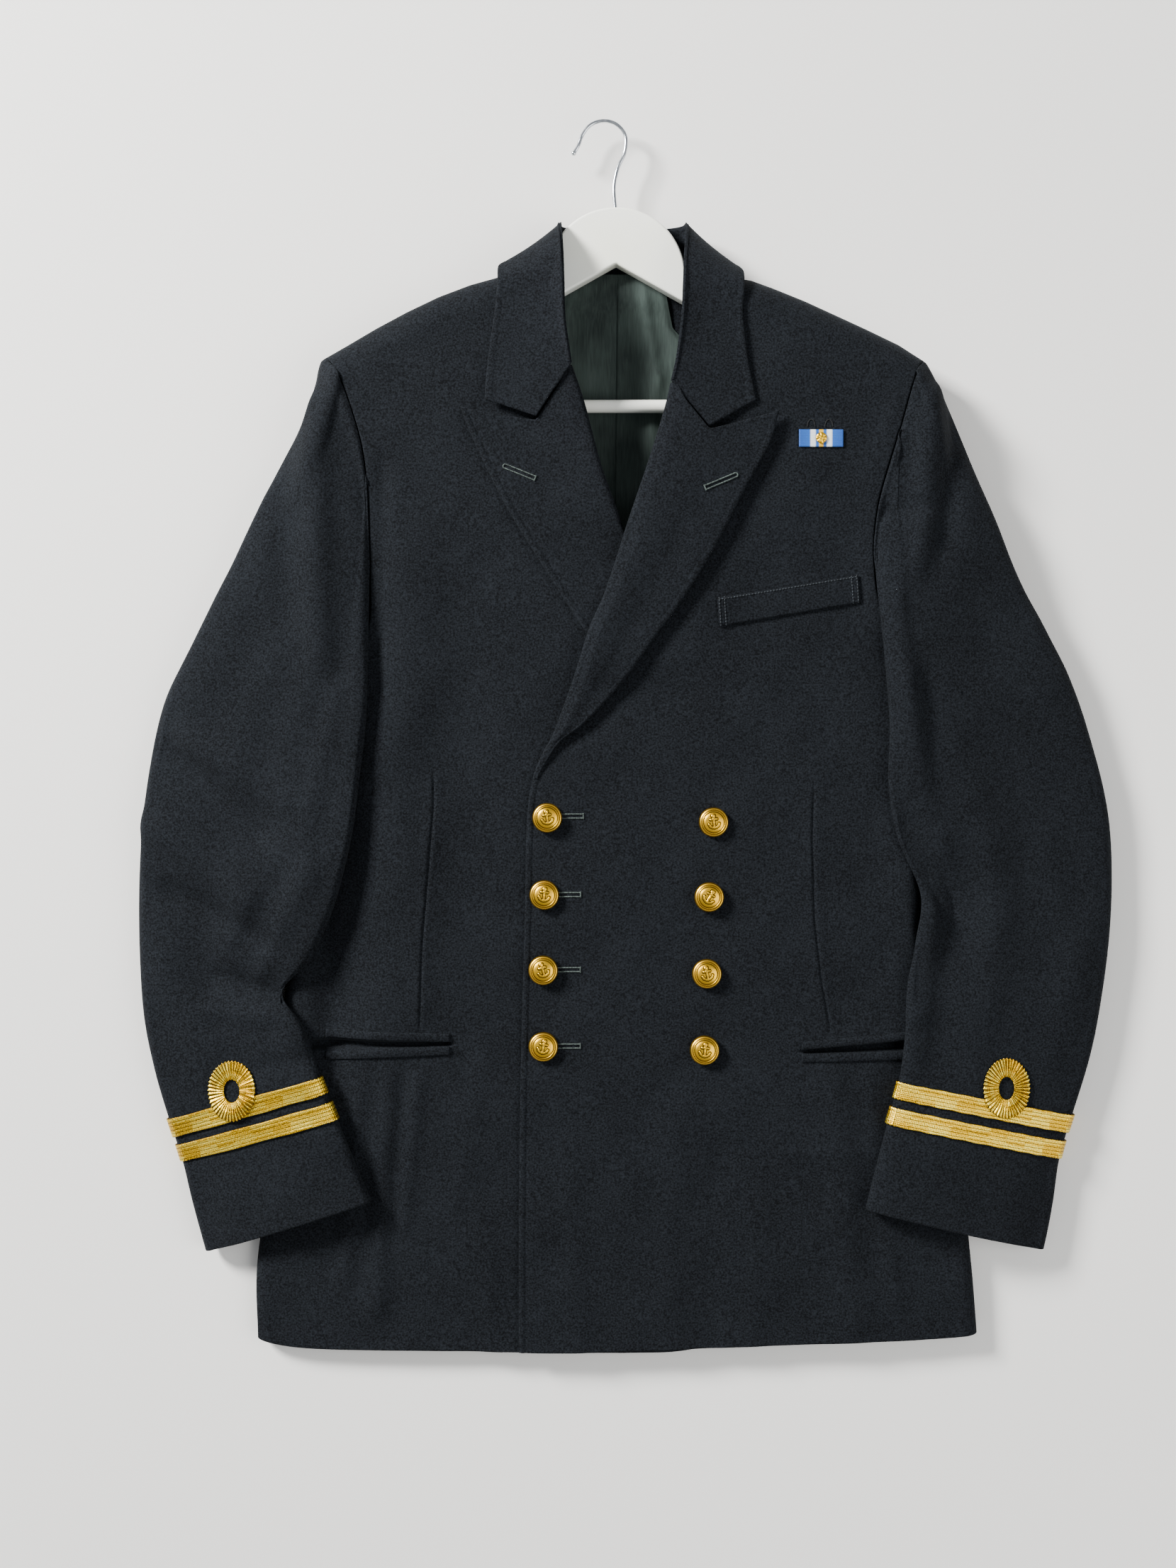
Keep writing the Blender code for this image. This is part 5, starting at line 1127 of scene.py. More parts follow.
# %% Collar
def through(places, net, at):
    """The cubic of curve(), carried out for whole rows of points at once."""
    slope = np.gradient(net, places, axis=0)
    i = np.clip(np.searchsorted(places, at, side="right") - 1, 0, len(places) - 2)
    width = (places[i + 1] - places[i])[:, None, None]
    t = ((at - places[i]) / (places[i + 1] - places[i]))[:, None, None]
    start = (1 + 2 * t) * (1 - t) ** 2 * net[i] + t * (1 - t) ** 2 * width * slope[i]
    end = t * t * (3 - 2 * t) * net[i + 1] + t * t * (t - 1) * width * slope[i + 1]
    return start + end


def fine_collar(paint):
    """Rows round the neck, columns from the fall's edge over the crease to the neck seam."""
    last = len(COLLAR["edge_x"]) - 1
    rows = np.concatenate([END_STEPS / 20, [0.22, 0.25, 0.28, 0.33], np.linspace(0.4, last - 0.4, 150),
                           last - np.array([0.33, 0.28, 0.25, 0.22]), last - END_STEPS[::-1] / 20])[:, None]
    edge, roll, seam = (np.stack([column(COLLAR, f"{part}_{axis}", rows) for axis in "xyz"], axis=-1)
                        for part in ("edge", "roll", "seam"))
    fall = np.array([0, 0.3, 0.6, 0.82, 0.94])[None, :, None]
    stand = np.array([0.1, 0.5, 1.0])[None, :, None]
    fall_points = edge + (roll - edge) * np.concatenate([fall, fall, fall ** 2.5], axis=-1)
    net = np.concatenate([fall_points, roll, roll + (seam - roll) * stand], axis=1)
    places = np.mean(walked(net, 1), axis=0)
    inside_step = np.linspace(9.2, places[-1] - 3.2, 40)[1:-1]
    at = np.concatenate([EDGE_STEPS, inside_step, places[-1] - END_STEPS[::-1]])
    face = through(places, net.transpose(1, 0, 2), at).transpose(1, 0, 2)
    part_across = np.clip(np.linalg.norm(face - face[:, :1], axis=-1) /
                          np.linalg.norm(roll - edge, axis=-1), 0, 1)
    for row, side in ((0, "right"), (-1, "left")):
        near = np.clip(1 - np.abs(rows - rows[row]) / 2.2, 0, 1)
        start, end = edge[row, 0], roll[row, 0]
        part = (NOTCH[side][0] - start[0]) / (end[0] - start[0])
        dip = NOTCH[side][1] + GORGE_GAP - (start[1] + (end[1] - start[1]) * part)
        face[..., 1] += near * np.interp(part_across, [0, part, 1], [0, dip, 0])
    down = walked(face, 0)
    near_end = np.minimum(down, down[-1:] - down)
    normal = facing(face, False, (0, 1, -0.2))
    on_fall = part_across < 0.8
    relief = stitched(np.broadcast_to(at[None, :], near_end.shape), 0.2, 0.07) + np.where(
        on_fall & (at[None, :] > 5.2), stitched(near_end, 0.2, 0.07), 0)
    face = face + normal * relief[..., None] * smooth((face[..., 2:] - 12) / 14)
    return cloth_shell("dressed_collar", face, COLLAR_WALL, (0, 1, -0.2), paint, "collar",
                       soft=0.9)


cloth_pieces["collar"] = fine_collar(doeskin)

# %% [markdown]
# ## The sleeves
# A tailored sleeve has a topsleeve and an undersleeve. The coarse rings of the frame are refined by
# cubics both ways, and creases are pushed along the normal on the upper side, deepest at the elbow.

# %% Fine sleeves
SLEEVE_CREASES = {
    "right": table("x0 y0 x1 y1 half high", [
        (-222, 236, -218, 60, 11, 4.2), (-246, 200, -242, 90, 11, -3.2), (-268, 170, -300, 50, 20, 2.6),
        (-240, 60, -262, -20, 12, -1.8), (-206, 30, -226, -60, 7, 2.4), (-330, -10, -266, -66, 10, -5.0),
        (-312, -4, -246, -46, 9, 3.4), (-338, -66, -272, -114, 10, 4.4), (-326, -112, -262, -146, 9, -4.8),
        (-226, -96, -262, -168, 6, 3.0), (-240, -86, -276, -150, 6, -2.4), (-250, -186, -290, -172, 6, -3.0),
        (-258, -200, -296, -196, 7, 2.2), (-332, -160, -306, -230, 12, 2.2), (-300, -180, -280, -232, 9, -1.6),
        (-226, -230, -262, -238, 8, -1.6), (-196, -296, -230, -286, 12, 1.4), (-286, -290, -280, -360, 16, 1.2)]),
    "left": table("x0 y0 x1 y1 half high", [
        (218, 244, 208, 130, 9, 4.4), (240, 226, 226, 140, 9, -4.6), (262, 160, 300, 50, 20, 2.6),
        (176, 160, 210, 164, 6, -3.0), (192, 100, 204, -30, 7, 2.0), (200, 40, 226, -100, 8, 3.0),
        (206, -62, 230, -122, 8, -4.4), (222, -104, 250, -164, 13, -3.2), (206, -56, 221, -124, 5, 2.6),
        (221, -124, 213, -196, 7, 2.8), (214, 40, 222, -60, 8, -2.0), (250, -40, 268, -130, 12, 2.6),
        (196, -90, 204, -200, 5, 2.6), (228, -160, 222, -230, 10, -2.6), (262, -150, 250, -240, 12, 2.4),
        (300, -70, 318, -150, 12, 1.6), (330, -140, 306, -230, 12, 2.2), (184, -290, 216, -296, 12, 1.4),
        (290, -290, 282, -360, 16, 1.2)])}
SLEEVE_CUT = {"left": (FOLD_ROW + 4, 2 * (len(ARMHOLE_ROWS["left"]) - 1) - 2),
              "right": (FOLD_ROW + 4, 2 * (len(ARMHOLE_ROWS["right"]) - 1) - 2)}


def sleeve_net(side):
    """Outer points of the frame's sleeve, with the first ring on the armhole."""
    front, back = front_grid(side), back_grid(side)
    front_in, back_in = inside(front, WALL, (0, 0, 1)), inside(back, WALL, (0, 0, -1))
    ring, _ = armhole_ring(side, front, front_in, back, back_in)
    return sleeve_grid(side, ring)


class Sleeve:
    """A sleeve's rings as a smooth surface of (row, column), both counted as in the coarse net."""

    def __init__(self, side):
        self.side = side
        self.net = sleeve_net(side)
        self.count = self.net.shape[1]
        wrapped = np.concatenate([self.net, self.net[:, :1]], axis=1)
        self.down = np.mean(walked(self.net, 0), axis=1)
        self.round = np.mean(walked(wrapped, 1)[2:], axis=0)

    def at(self, rows, columns):
        """Points at arrays of row and column numbers: cubics down the sleeve, then round it."""
        numbers = np.arange(len(self.down))
        along = through(self.down, self.net, np.interp(rows, numbers, self.down))
        wide = np.concatenate([along[:, -3:], along, along[:, :4]], axis=1)
        length = self.round[-1]
        places = np.concatenate([self.round[-4:-1] - length, self.round, self.round[1:4] + length])
        index = np.interp(columns, np.arange(-3, self.count + 4), places)
        return through(places, wide.transpose(1, 0, 2), index).transpose(1, 0, 2)


def creased(sleeve, face, rows):
    """Push a sleeve's upper side along its normal by its creases and a slow unevenness, fading at the
    armhole, and puff the sleeve's head where its fullness is eased in."""
    normal = facing(face, False, (0, 0, 1))
    upper = smooth((normal[..., 2] - 0.15) / 0.5)
    x, y = face[..., 0], face[..., 1]
    from_seam = walked(face, 0)
    amount = folds_height(x, y, SLEEVE_CREASES[sleeve.side]) + 0.8 * unevenness(x + 40, y)
    amount = amount * smooth(from_seam / 24) + 1.1 * np.exp(-((from_seam - 8) / 6) ** 2) * smooth(from_seam / 4)
    return face + normal * (amount * upper)[..., None]


def fine_sleeve(sleeve, paint):
    """Topsleeve over both edges and undersleeve between the two seams beneath, a narrow gap apart."""
    side = sleeve.side
    seam_in, seam_out = SLEEVE_CUT[side]
    last = len(sleeve.down) - 1
    close = END_STEPS / 34
    rows = np.concatenate([close, np.linspace(0.12, last - 0.12, 190), last - close[::-1]])
    gap = 0.012
    tail = np.array([0, 0.02, 0.06, 0.14, 0.3])
    top = np.concatenate([seam_out - sleeve.count + gap + tail, np.linspace(-1.5, seam_in - 0.5, 78),
                          seam_in - gap - tail[::-1]])
    low = np.concatenate([seam_in + gap + tail, np.linspace(seam_in + 0.6, seam_out - 0.6, 24),
                          seam_out - gap - tail[::-1]])
    made = {}
    for name, columns in (("topsleeve", top), ("undersleeve", low)):
        face = sleeve.at(rows, columns)
        if name == "topsleeve":
            face = creased(sleeve, face, rows)
        outward = (0, 0, 1) if name == "topsleeve" else (0, 0, -1)
        face[..., 2] = np.maximum(face[..., 2], 0)
        made[name] = cloth_shell(f"dressed_{name}_{side}", face, WALL, outward, paint,
                                 f"{name}_{side}")
    return made


sleeves = {side: Sleeve(side) for side in ("left", "right")}
for side, sleeve in sleeves.items():
    for name, made in fine_sleeve(sleeve, doeskin).items():
        cloth_pieces[f"{name}_{side}"] = made
print({k: round(v["cloth_area"], 4) for k, v in cloth_pieces.items()})

# %% [markdown]
# ## Gold lace
# Two bands of woven gilt wire go round each cuff, and the upper one is turned up into an oval loop.
# A band is a strip of the sleeve's own surface moved out, with three low ridges and nibbled edges
# where the wire turns back. The loop is the same lace pleated round a curve.

# %% Bands round the cuffs
def lace_band(sleeve, which, node, paint):
    """Rows across the band, columns round the cuff. Height over the cloth is a gap, the wall and ridges every 2.7
    mm, with painted shade lines in the grooves between them; the edges wander by 0.2 mm at each turn of the wire."""
    start = CUFF_ROWS[which]
    across = np.array([0, 0.01, 0.03, 0.07, 0.12, 0.17, 0.2, 0.24, 0.3, 0.36, 0.4, 0.44, 0.5, 0.56, 0.6,
                       0.64, 0.7, 0.76, 0.8, 0.83, 0.88, 0.93, 0.97, 0.99, 1.0])
    columns = np.linspace(0, sleeve.count, 321)[:-1]
    face = sleeve.at(start + LACE_STEP * across, columns)
    normal = facing(face, True, (0, 0, 1))
    if normal[12, 70, 2] < 0:
        normal = -normal
    upper = smooth((normal[..., 2] - 0.15) / 0.5)
    crease = folds_height(face[..., 0], face[..., 1], SLEEVE_CREASES[sleeve.side])
    crease = crease + 0.8 * unevenness(face[..., 0] + 40, face[..., 1])
    ridge = 0.16 * np.abs(np.sin(math.pi * across * 5))[:, None]
    lift = LACE_GAP + LACE_WALL + ridge + crease * upper
    wide = np.linalg.norm(face[-1] - face[0], axis=-1)[None, :]
    round_it = np.concatenate([face, face[:, :1]], axis=1)
    along = np.mean(walked(round_it, 1), axis=0)[:-1]
    down = (face[-1] - face[0]) / wide[0][:, None]
    at_edges = (np.exp(-across / 0.05) - np.exp(-(1 - across) / 0.05))[:, None]
    nibble = 0.22 * np.sin(2 * math.pi * along / 2.2)[None, :] * at_edges
    face = face + normal * lift[..., None] + down[None] * nibble[..., None]
    uv = np.stack(np.broadcast_arrays(along[None, :], across[:, None] * wide), axis=-1)
    outward = normal[12, 180]
    return cloth_shell(node.replace("lace", "gold_lace"), face, LACE_WALL, outward, paint,
                       node, soft=0.5, around=True, uv=uv)


for side, sleeve in sleeves.items():
    for which in CUFF_ROWS:
        node = f"lace_{which}_{side}"
        cloth_pieces[node] = lace_band(sleeve, which, node, lace_gold)


# %% Surfaces to set pieces on
def height_on(pieces, x, y):
    """Highest point of the named pieces under each spot, from a ray cast straight down."""
    graph = bpy.context.evaluated_depsgraph_get()
    x, y = np.broadcast_arrays(x, y)
    result = np.zeros(x.shape)
    for index in np.ndindex(x.shape):
        for piece in pieces:
            hit, spot, _, _ = piece.ray_cast((x[index] * MM, y[index] * MM, 0.2), (0, 0, -1))
            if hit:
                result[index] = max(result[index], spot[2] / MM)
    return result


# %% Executive loops
def lace_loop(side, paint):
    """Angle round the loop and share across the lace. Pleats fan out from the hole: a sine of 44
    turns that grows outward, a scalloped rim, and the loop's height follows what lies under it."""
    x0, y0 = CURL[side]
    turn = np.linspace(0, 2 * math.pi, 353)[:-1][None, :]
    part = np.array([0, 0.02, 0.06, 0.13, 0.22, 0.32, 0.42, 0.47, 0.52, 0.6, 0.7, 0.8, 0.88, 0.94, 0.98,
                     1.0])[:, None]
    grow_wide = CURL_SIZE["wide"] - CURL_SIZE["hole_wide"]
    grow_high = CURL_SIZE["high"] - CURL_SIZE["hole_high"]
    wide = CURL_SIZE["hole_wide"] + grow_wide * part
    high = CURL_SIZE["hole_high"] + grow_high * part
    pleats = 44
    scallop = 1 + 0.018 * np.cos(pleats * turn) * smooth((part - 0.7) / 0.3)
    x, y = x0 + wide * scallop * np.cos(turn), y0 + high * scallop * np.sin(turn)
    coarse = np.linspace(0, 2 * math.pi, 25)
    rings = np.array([0.0, 0.5, 1.0])
    spots_x = x0 + (CURL_SIZE["hole_wide"] + grow_wide * rings[:, None]) * np.cos(coarse)
    spots_y = y0 + (CURL_SIZE["hole_high"] + grow_high * rings[:, None]) * np.sin(coarse)
    below = [cloth_pieces[f"topsleeve_{side}"], cloth_pieces[f"lace_upper_{side}"]]
    under = height_on(below, spots_x, spots_y)
    under = np.maximum(under, (np.roll(under, 1, axis=1) + np.roll(under, -1, axis=1)) / 2)
    low = np.stack([np.interp(turn[0], coarse, ring) for ring in under])
    base = np.stack([np.interp(part[:, 0], rings, low[:, k]) for k in range(low.shape[1])], axis=1)
    pleat = 0.42 * np.cos(pleats * turn + 1.2 * part) * (0.35 + 0.65 * part) + 0.12 * np.cos(13 * turn + 1)
    welt = 0.25 * np.exp(-((part - 0.45) / 0.06) ** 2)
    z = base + SEAM_GAP + LACE_WALL + 0.35 + pleat - welt + 0.35 * np.sin(math.pi * part)
    face = np.stack([x, y, z], axis=-1)
    along = turn / (2 * math.pi) * 88.0
    uv = np.stack(np.broadcast_arrays(along, part * 12.0), axis=-1)
    return cloth_shell(f"gold_loop_{side}", face, LACE_WALL, (0, 0, 1), paint,
                       f"lace_curl_{side}", soft=0.5, around=True, uv=uv)


for side in ("left", "right"):
    cloth_pieces[f"lace_curl_{side}"] = lace_loop(side, loop_gold)
print("lace:", [k for k in cloth_pieces if k.startswith("lace")])

# %% [markdown]
# ## Welt and pocket jets
# The breast pocket has a welt, a folded strip sewn over its mouth. The hip pockets have two narrow
# jets, folded lips that leave the mouth between them.

# %% Strips laid on the fronts
def laid_strip(name, corners, wall, puff, steps, paint, node, side):
    """A strip between four corners, on the front's height: gap, wall and a low arch across it."""
    ends = END_STEPS / 60
    across = np.concatenate([ends, np.linspace(0.08, 0.92, steps), 1 - ends[::-1]])[None, :, None]
    tall = np.array([0, 0.02, 0.06, 0.14, 0.25, 0.4, 0.5, 0.6, 0.75, 0.86, 0.94, 0.98, 1.0])[:, None, None]
    upper_left, upper_right, lower_right, lower_left = (np.array(c, float) for c in corners)
    flat = (upper_left + (upper_right - upper_left) * across) * (1 - tall) + (
        lower_left + (lower_right - lower_left) * across) * tall
    x, y = flat[..., 0], flat[..., 1]
    smooth_top = front_height(x, y, side) + folds_height(x, y, BODY_FOLDS) + unevenness(x, y)
    z = smooth_top + SEAM_GAP + wall + 0.3 + puff * np.sin(math.pi * tall[..., 0])
    face = np.stack([x, y, z], axis=-1)
    return cloth_shell(name, face, wall, (0, 0, 1), paint, node, soft=0.7)


welt_corners = [WELT[k] for k in ("upper_left", "upper_right", "lower_right", "lower_left")]
cloth_pieces["breast_welt"] = laid_strip("dressed_welt", welt_corners, WELT_WALL, 0.35, 34, doeskin,
                                         "breast_welt", "left")
for k, end_x in enumerate(JETS["end_x"]):
    end_y, run_x, run_y, wide = (JETS[c][k] for c in ("end_y", "run_x", "run_y", "wide"))
    side = "left" if JETS["side"][k] > 0 else "right"
    level = "upper" if k % 2 == 0 else "lower"
    corners = [(end_x, end_y + wide / 2), (run_x, run_y + wide / 2),
               (run_x, run_y - wide / 2), (end_x, end_y - wide / 2)]
    node = f"pocket_jet_{level}_{side}"
    cloth_pieces[node] = laid_strip(f"dressed_jet_{level}_{side}", corners, JET_WALL, 0.7, 30, doeskin,
                                    node, side)

# %% [markdown]
# ## The lining in the neck
# Satin hangs loose in the back of the coat with a pleat down its centre, so it shows long soft
# creases that run down from the neck.

# %% Lining
LINING_CREASES = table("x0 y0 x1 y1 half high", [
    (12, 334, 24, 262, 4, 2.2), (24, 262, 12, 180, 5, 2.4), (2, 300, 2, 150, 4, 1.4), (-30, 330, -22, 150, 6, 2.0),
    (20, 230, 30, 140, 4, 1.6), (-46, 300, -52, 190, 8, 1.6), (36, 300, 44, 180, 8, 1.6),
    (-18, 280, -14, 160, 4, 1.2)])


def fine_lining(paint):
    """Rows down the back, columns across, gathered at the centre seam. A pleat is a step that falls
    away to one side of the seam, with a narrow groove at the seam."""
    rows = np.concatenate([338.5 - END_STEPS, np.linspace(334, 64, 90), 60 + END_STEPS[::-1]])[:, None]
    near_seam = np.array([0.005, 0.012, 0.02, 0.03, 0.045])
    right_half = np.concatenate([near_seam, np.linspace(0.065, 0.94, 33), 1 - END_STEPS[::-1] / 60])
    part = np.concatenate([-right_half[::-1], [0], right_half])[None, :]
    half = np.interp(rows, [60, 250, 300, 338.5], [62, 90, 42, 34])
    seam = -6.0 - (338 - rows) * 0.012
    x = seam + part * (half + (CENTRE_X - seam) * np.sign(part))
    y = rows + 0 * part
    mirrored = np.abs(x - CENTRE_X) + CENTRE_X
    low = np.maximum(back_height(x, y, "left"), back_height(mirrored, y, "left")) + WALL
    low = low + 0.8 * smooth((y - 296) / 12) + SEAM_GAP
    off = x - seam
    pleat = 1.1 * smooth(off / 1.2) * np.exp(-np.maximum(off, 0) / 9) - 0.7 * np.exp(-(off / 0.8) ** 2)
    crease = np.maximum(0.65 * folds_height(x, y, LINING_CREASES) + 0.4 * unevenness(x * 2.2, y * 1.4), -0.2)
    inward = smooth((1 - np.abs(part)) / 0.12) * smooth((338 - y) / 10)
    z = low + LINING_WALL + (pleat + 0.8 + crease) * inward
    face = np.stack([x, y, z], axis=-1)
    return cloth_shell("dressed_lining", face, LINING_WALL, (0, 0, 1), paint,
                       "back_lining", soft=0.6)


cloth_pieces["back_lining"] = fine_lining(satin)

# %% [markdown]
# ## Buttons
# A shank button is a stamped shell: a reeded rim, a raised ring, and a domed middle with a plain
# anchor. It is a disc of rings and spokes whose height is a function of the place on it.

# %% Anchor and button relief
# Shank, stock and the two arms, each arm in three strokes.
ANCHOR = [((0, 3.9), (0, -4.0)), ((-2.3, 2.2), (2.3, 2.2)),
          ((-3.7, -1.1), (-2.9, -2.8)), ((-2.9, -2.8), (-1.4, -3.7)), ((-1.4, -3.7), (0, -4.0)),
          ((3.7, -1.1), (2.9, -2.8)), ((2.9, -2.8), (1.4, -3.7)), ((1.4, -3.7), (0, -4.0))]
SPOKES = 144
RING = table("share high", [
    (0, 0.99), (0.3, 0.96), (0.55, 0.86), (0.64, 0.79), (0.68, 0.75), (0.7, 0.73), (0.73, 0.83), (0.76, 0.84),
    (0.79, 0.74), (0.82, 0.69), (0.86, 0.72), (0.92, 0.66), (0.96, 0.54), (0.985, 0.4), (1.0, 0.26)])


def button(name, x0, y0, turn, node, paint):
    """A disc of 50 rings and 144 spokes. Height is the ring table's profile, the anchor's strokes raised 0.4 mm, and
    reeding on the rim; a flat back closes it. U turns to the dark groove colour in a band beside the strokes, a
    painted shade round the anchor."""
    share = np.concatenate([np.linspace(0.02, 0.6, 24), np.linspace(0.615, 1.0, 26)])[:, None]
    angle = np.linspace(0, 2 * math.pi, SPOKES + 1)[:-1][None, :]
    x, y = BUTTON_RADIUS * share * np.cos(angle), BUTTON_RADIUS * share * np.sin(angle)
    u, v = x * math.cos(turn) + y * math.sin(turn), -x * math.sin(turn) + y * math.cos(turn)
    away = np.full(x.shape, 9.0)
    for a, b in ANCHOR:
        away = np.minimum(away, to_line(u, v, np.array([a, b], float))[0])
    eye = np.abs(np.hypot(u, v - 4.6) - 0.75)
    away = np.minimum(away, eye)
    middle = smooth((0.62 - share) / 0.06)
    raised = 0.42 * smooth((0.7 - away) / 0.35) * middle * 0.9
    # Painted shade: a band about 1 mm from the anchor's strokes takes the dark groove colour, though the metal there
    # is not sunk.
    painted_shade_band = smooth((0.65 - np.abs(away - 1.0)) / 0.35) * middle
    on_rim = smooth((share - 0.84) / 0.03) * smooth((0.985 - share) / 0.03)
    reeding = 0.1 * np.cos(SPOKES / 2 * angle) * on_rim
    z = BUTTON_HEIGHT * np.interp(share, RING["share"], RING["high"]) + raised + reeding
    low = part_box(node)[0][2] / MM
    ring_points = np.stack([x + x0, y + y0, z + low], axis=-1)
    back = np.stack([0.97 * x[-1:] + x0, 0.97 * y[-1:] + y0, 0 * x[-1:] + low], axis=-1)
    hub = np.array([[x0, y0, float(z[0].mean()) + low], [x0, y0, low]])
    points = np.concatenate([ring_points.reshape(-1, 3), back.reshape(-1, 3), hub])
    rings = len(share) + 1
    number = np.arange(rings * SPOKES).reshape(rings, SPOKES)
    number = np.concatenate([number, number[:, :1]], axis=1)
    top = np.stack([np.full(SPOKES, len(points) - 2), number[0, 1:], number[0, :-1]], axis=1)
    low_fan = np.stack([np.full(SPOKES, len(points) - 1), number[-1, :-1], number[-1, 1:]], axis=1)
    face_uv = np.stack(np.broadcast_arrays(share + (0.7 - share) * painted_shade_band, angle / 6.3), axis=-1)
    uv = np.concatenate([face_uv.reshape(-1, 2), np.stack([np.full(SPOKES, 0.98), angle[0] / 6.3], axis=-1),
                         [[0, 0], [0.9, 0]]])
    return add_piece(name, points, [quads(number), top, low_fan], paint, node, uv)


BUTTON_TURNS = [0.15, -0.1, 0.3, -0.2, 0.12, -0.55, 0.2, -0.1]
for k, x in enumerate(BUTTONS["x"]):
    side = "right" if BUTTONS["column"][k] == 0 else "left"
    node = f"button_{side}_{int(BUTTONS['row'][k]) + 1}"
    button(f"gilt_{node}", x, BUTTONS["y"][k], BUTTON_TURNS[k], node, brass)


# %% [markdown]
# ## Ribbon bar and its stud
# The ribbon is ribbed silk over a thin bar, in stripes of this lesson's own layout, and the stud is a
# plain domed boss.

# %% Ribbon and stud
def ribbon_piece(paint):
    """A strip with rounded long edges, level with the frame's ribbon."""
    low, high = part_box("ribbon_bar")
    ends = np.array([0, 0.008, 0.02, 0.04])
    across = np.concatenate([ends, np.linspace(0.07, 0.93, 40), 1 - ends[::-1]])[None, :]
    tall = np.array([0, 0.02, 0.05, 0.1, 0.2, 0.35, 0.5, 0.65, 0.8, 0.9, 0.95, 0.98, 1.0])[:, None]
    x = RIBBON["x"] + RIBBON["wide"] * (across - 0.5) + 0 * tall
    y = RIBBON["y"] + RIBBON["high"] * (0.5 - tall) + 0 * across
    z = front_top(x, y, "left") + SEAM_GAP + RIBBON["thick"] + 0.2 * np.sin(math.pi * tall)
    uv = np.stack(np.broadcast_arrays(across, tall), axis=-1)
    return cloth_shell("ribbon_silk_bar", np.stack([x, y, z], axis=-1), RIBBON["thick"], (0, 0, 1), paint,
                       "ribbon_bar", soft=0.6, uv=uv)


def stud_piece(paint):
    """A boss with eight shallow petals round a raised middle: rings and spokes as on a button."""
    share = np.linspace(0.06, 1, 18)[:, None]
    angle = np.linspace(0, 2 * math.pi, 97)[:-1][None, :]
    x, y = STUD_RADIUS * share * np.cos(angle), STUD_RADIUS * share * np.sin(angle)
    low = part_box("ribbon_stud")[0][2] / MM
    petals = 0.12 * np.cos(8 * angle) * smooth((share - 0.3) / 0.2) * (share < 0.97)
    z = STUD_HEIGHT * (np.sqrt(1 - 0.9 * share ** 2) + petals) + 0.35 * np.exp(-(share / 0.25) ** 2)
    dome = np.stack([x + RIBBON["x"], y + RIBBON["y"], z + low], axis=-1).reshape(-1, 3)
    hub = [[RIBBON["x"], RIBBON["y"], low + STUD_HEIGHT + 0.35], [RIBBON["x"], RIBBON["y"], low]]
    points = np.concatenate([dome, hub])
    number = np.arange(len(share) * 96).reshape(len(share), 96)
    number = np.concatenate([number, number[:, :1]], axis=1)
    top = np.stack([np.full(96, len(points) - 2), number[0, 1:], number[0, :-1]], axis=1)
    under = np.stack([np.full(96, len(points) - 1), number[-1, :-1], number[-1, 1:]], axis=1)
    uv = np.stack(np.broadcast_arrays(share * 0.6, angle), axis=-1).reshape(-1, 2)
    uv = np.concatenate([uv, [[0, 0], [0, 0]]])
    return add_piece("gilt_ribbon_stud", points, [quads(number), top, under], paint,
                     "ribbon_stud", uv)


cloth_pieces["ribbon_bar"] = ribbon_piece(silk)
stud_piece(brass)

# %% [markdown]
# ## Sewing
# A worked buttonhole is two purled edges of silk twist with a bar tack across one end. Each is a
# thin cord swept along its path, with a swelling at every stitch.

# %% Purled cords
def cord_points(path, radius, sides, stitch, swell):
    """Rings round a path: each ring is a circle in the plane across the path, and its radius swells
    by a sine along the distance walked."""
    way = np.gradient(path, axis=0)
    way /= np.linalg.norm(way, axis=1, keepdims=True)
    side_way = np.cross(way, (0, 0, 1.0))
    side_way /= np.linalg.norm(side_way, axis=1, keepdims=True)
    up = np.cross(side_way, way)
    angle = np.linspace(0, 2 * math.pi, sides + 1)[:-1][None, :, None]
    size = (radius * (1 + swell * np.sin(2 * math.pi * walked(path, 0) / stitch)))[:, None, None]
    return path[:, None] + size * (np.cos(angle) * side_way[:, None] + np.sin(angle) * up[:, None])


def cord_faces(rings, sides, first):
    """Quads round a cord and a fan over each end."""
    number = first + np.arange(rings * sides).reshape(rings, sides)
    number = np.concatenate([number, number[:, :1]], axis=1)
    fan = np.arange(1, sides - 1)
    start = np.stack([np.full(len(fan), number[0, 0]), number[0, fan + 1], number[0, fan]], axis=1)
    end = np.stack([np.full(len(fan), number[-1, 0]), number[-1, fan], number[-1, fan + 1]], axis=1)
    return quads(number), np.concatenate([start, end])


def sewn(name, paths, radius, paint, on=None, stitch=0.9, swell=0.22, sides=8):
    """One piece from several cords. Each path is given flat, and laid on the pieces below it."""
    points, four, three, first = [], [], [], 0
    for path in paths:
        path = np.array(path, float)
        if path.shape[1] == 2:
            base = height_on(on, path[:, 0], path[:, 1])
            path = np.concatenate([path, (base + radius * 0.9)[:, None]], axis=1)
        rings = cord_points(path, radius, sides, stitch, swell)
        quad, fan = cord_faces(len(path), sides, first)
        points.append(rings.reshape(-1, 3))
        four.append(quad)
        three.append(fan)
        first += rings.shape[0] * sides
    return add_piece(name, np.concatenate(points), [np.concatenate(four), np.concatenate(three)], paint)


def line_of(a, b, step=0.3):
    """Points from a to b, one every step mm."""
    a, b = np.array(a, float), np.array(b, float)
    count = max(int(np.linalg.norm(b - a) / step), 2)
    return a + (b - a) * np.linspace(0, 1, count)[:, None]


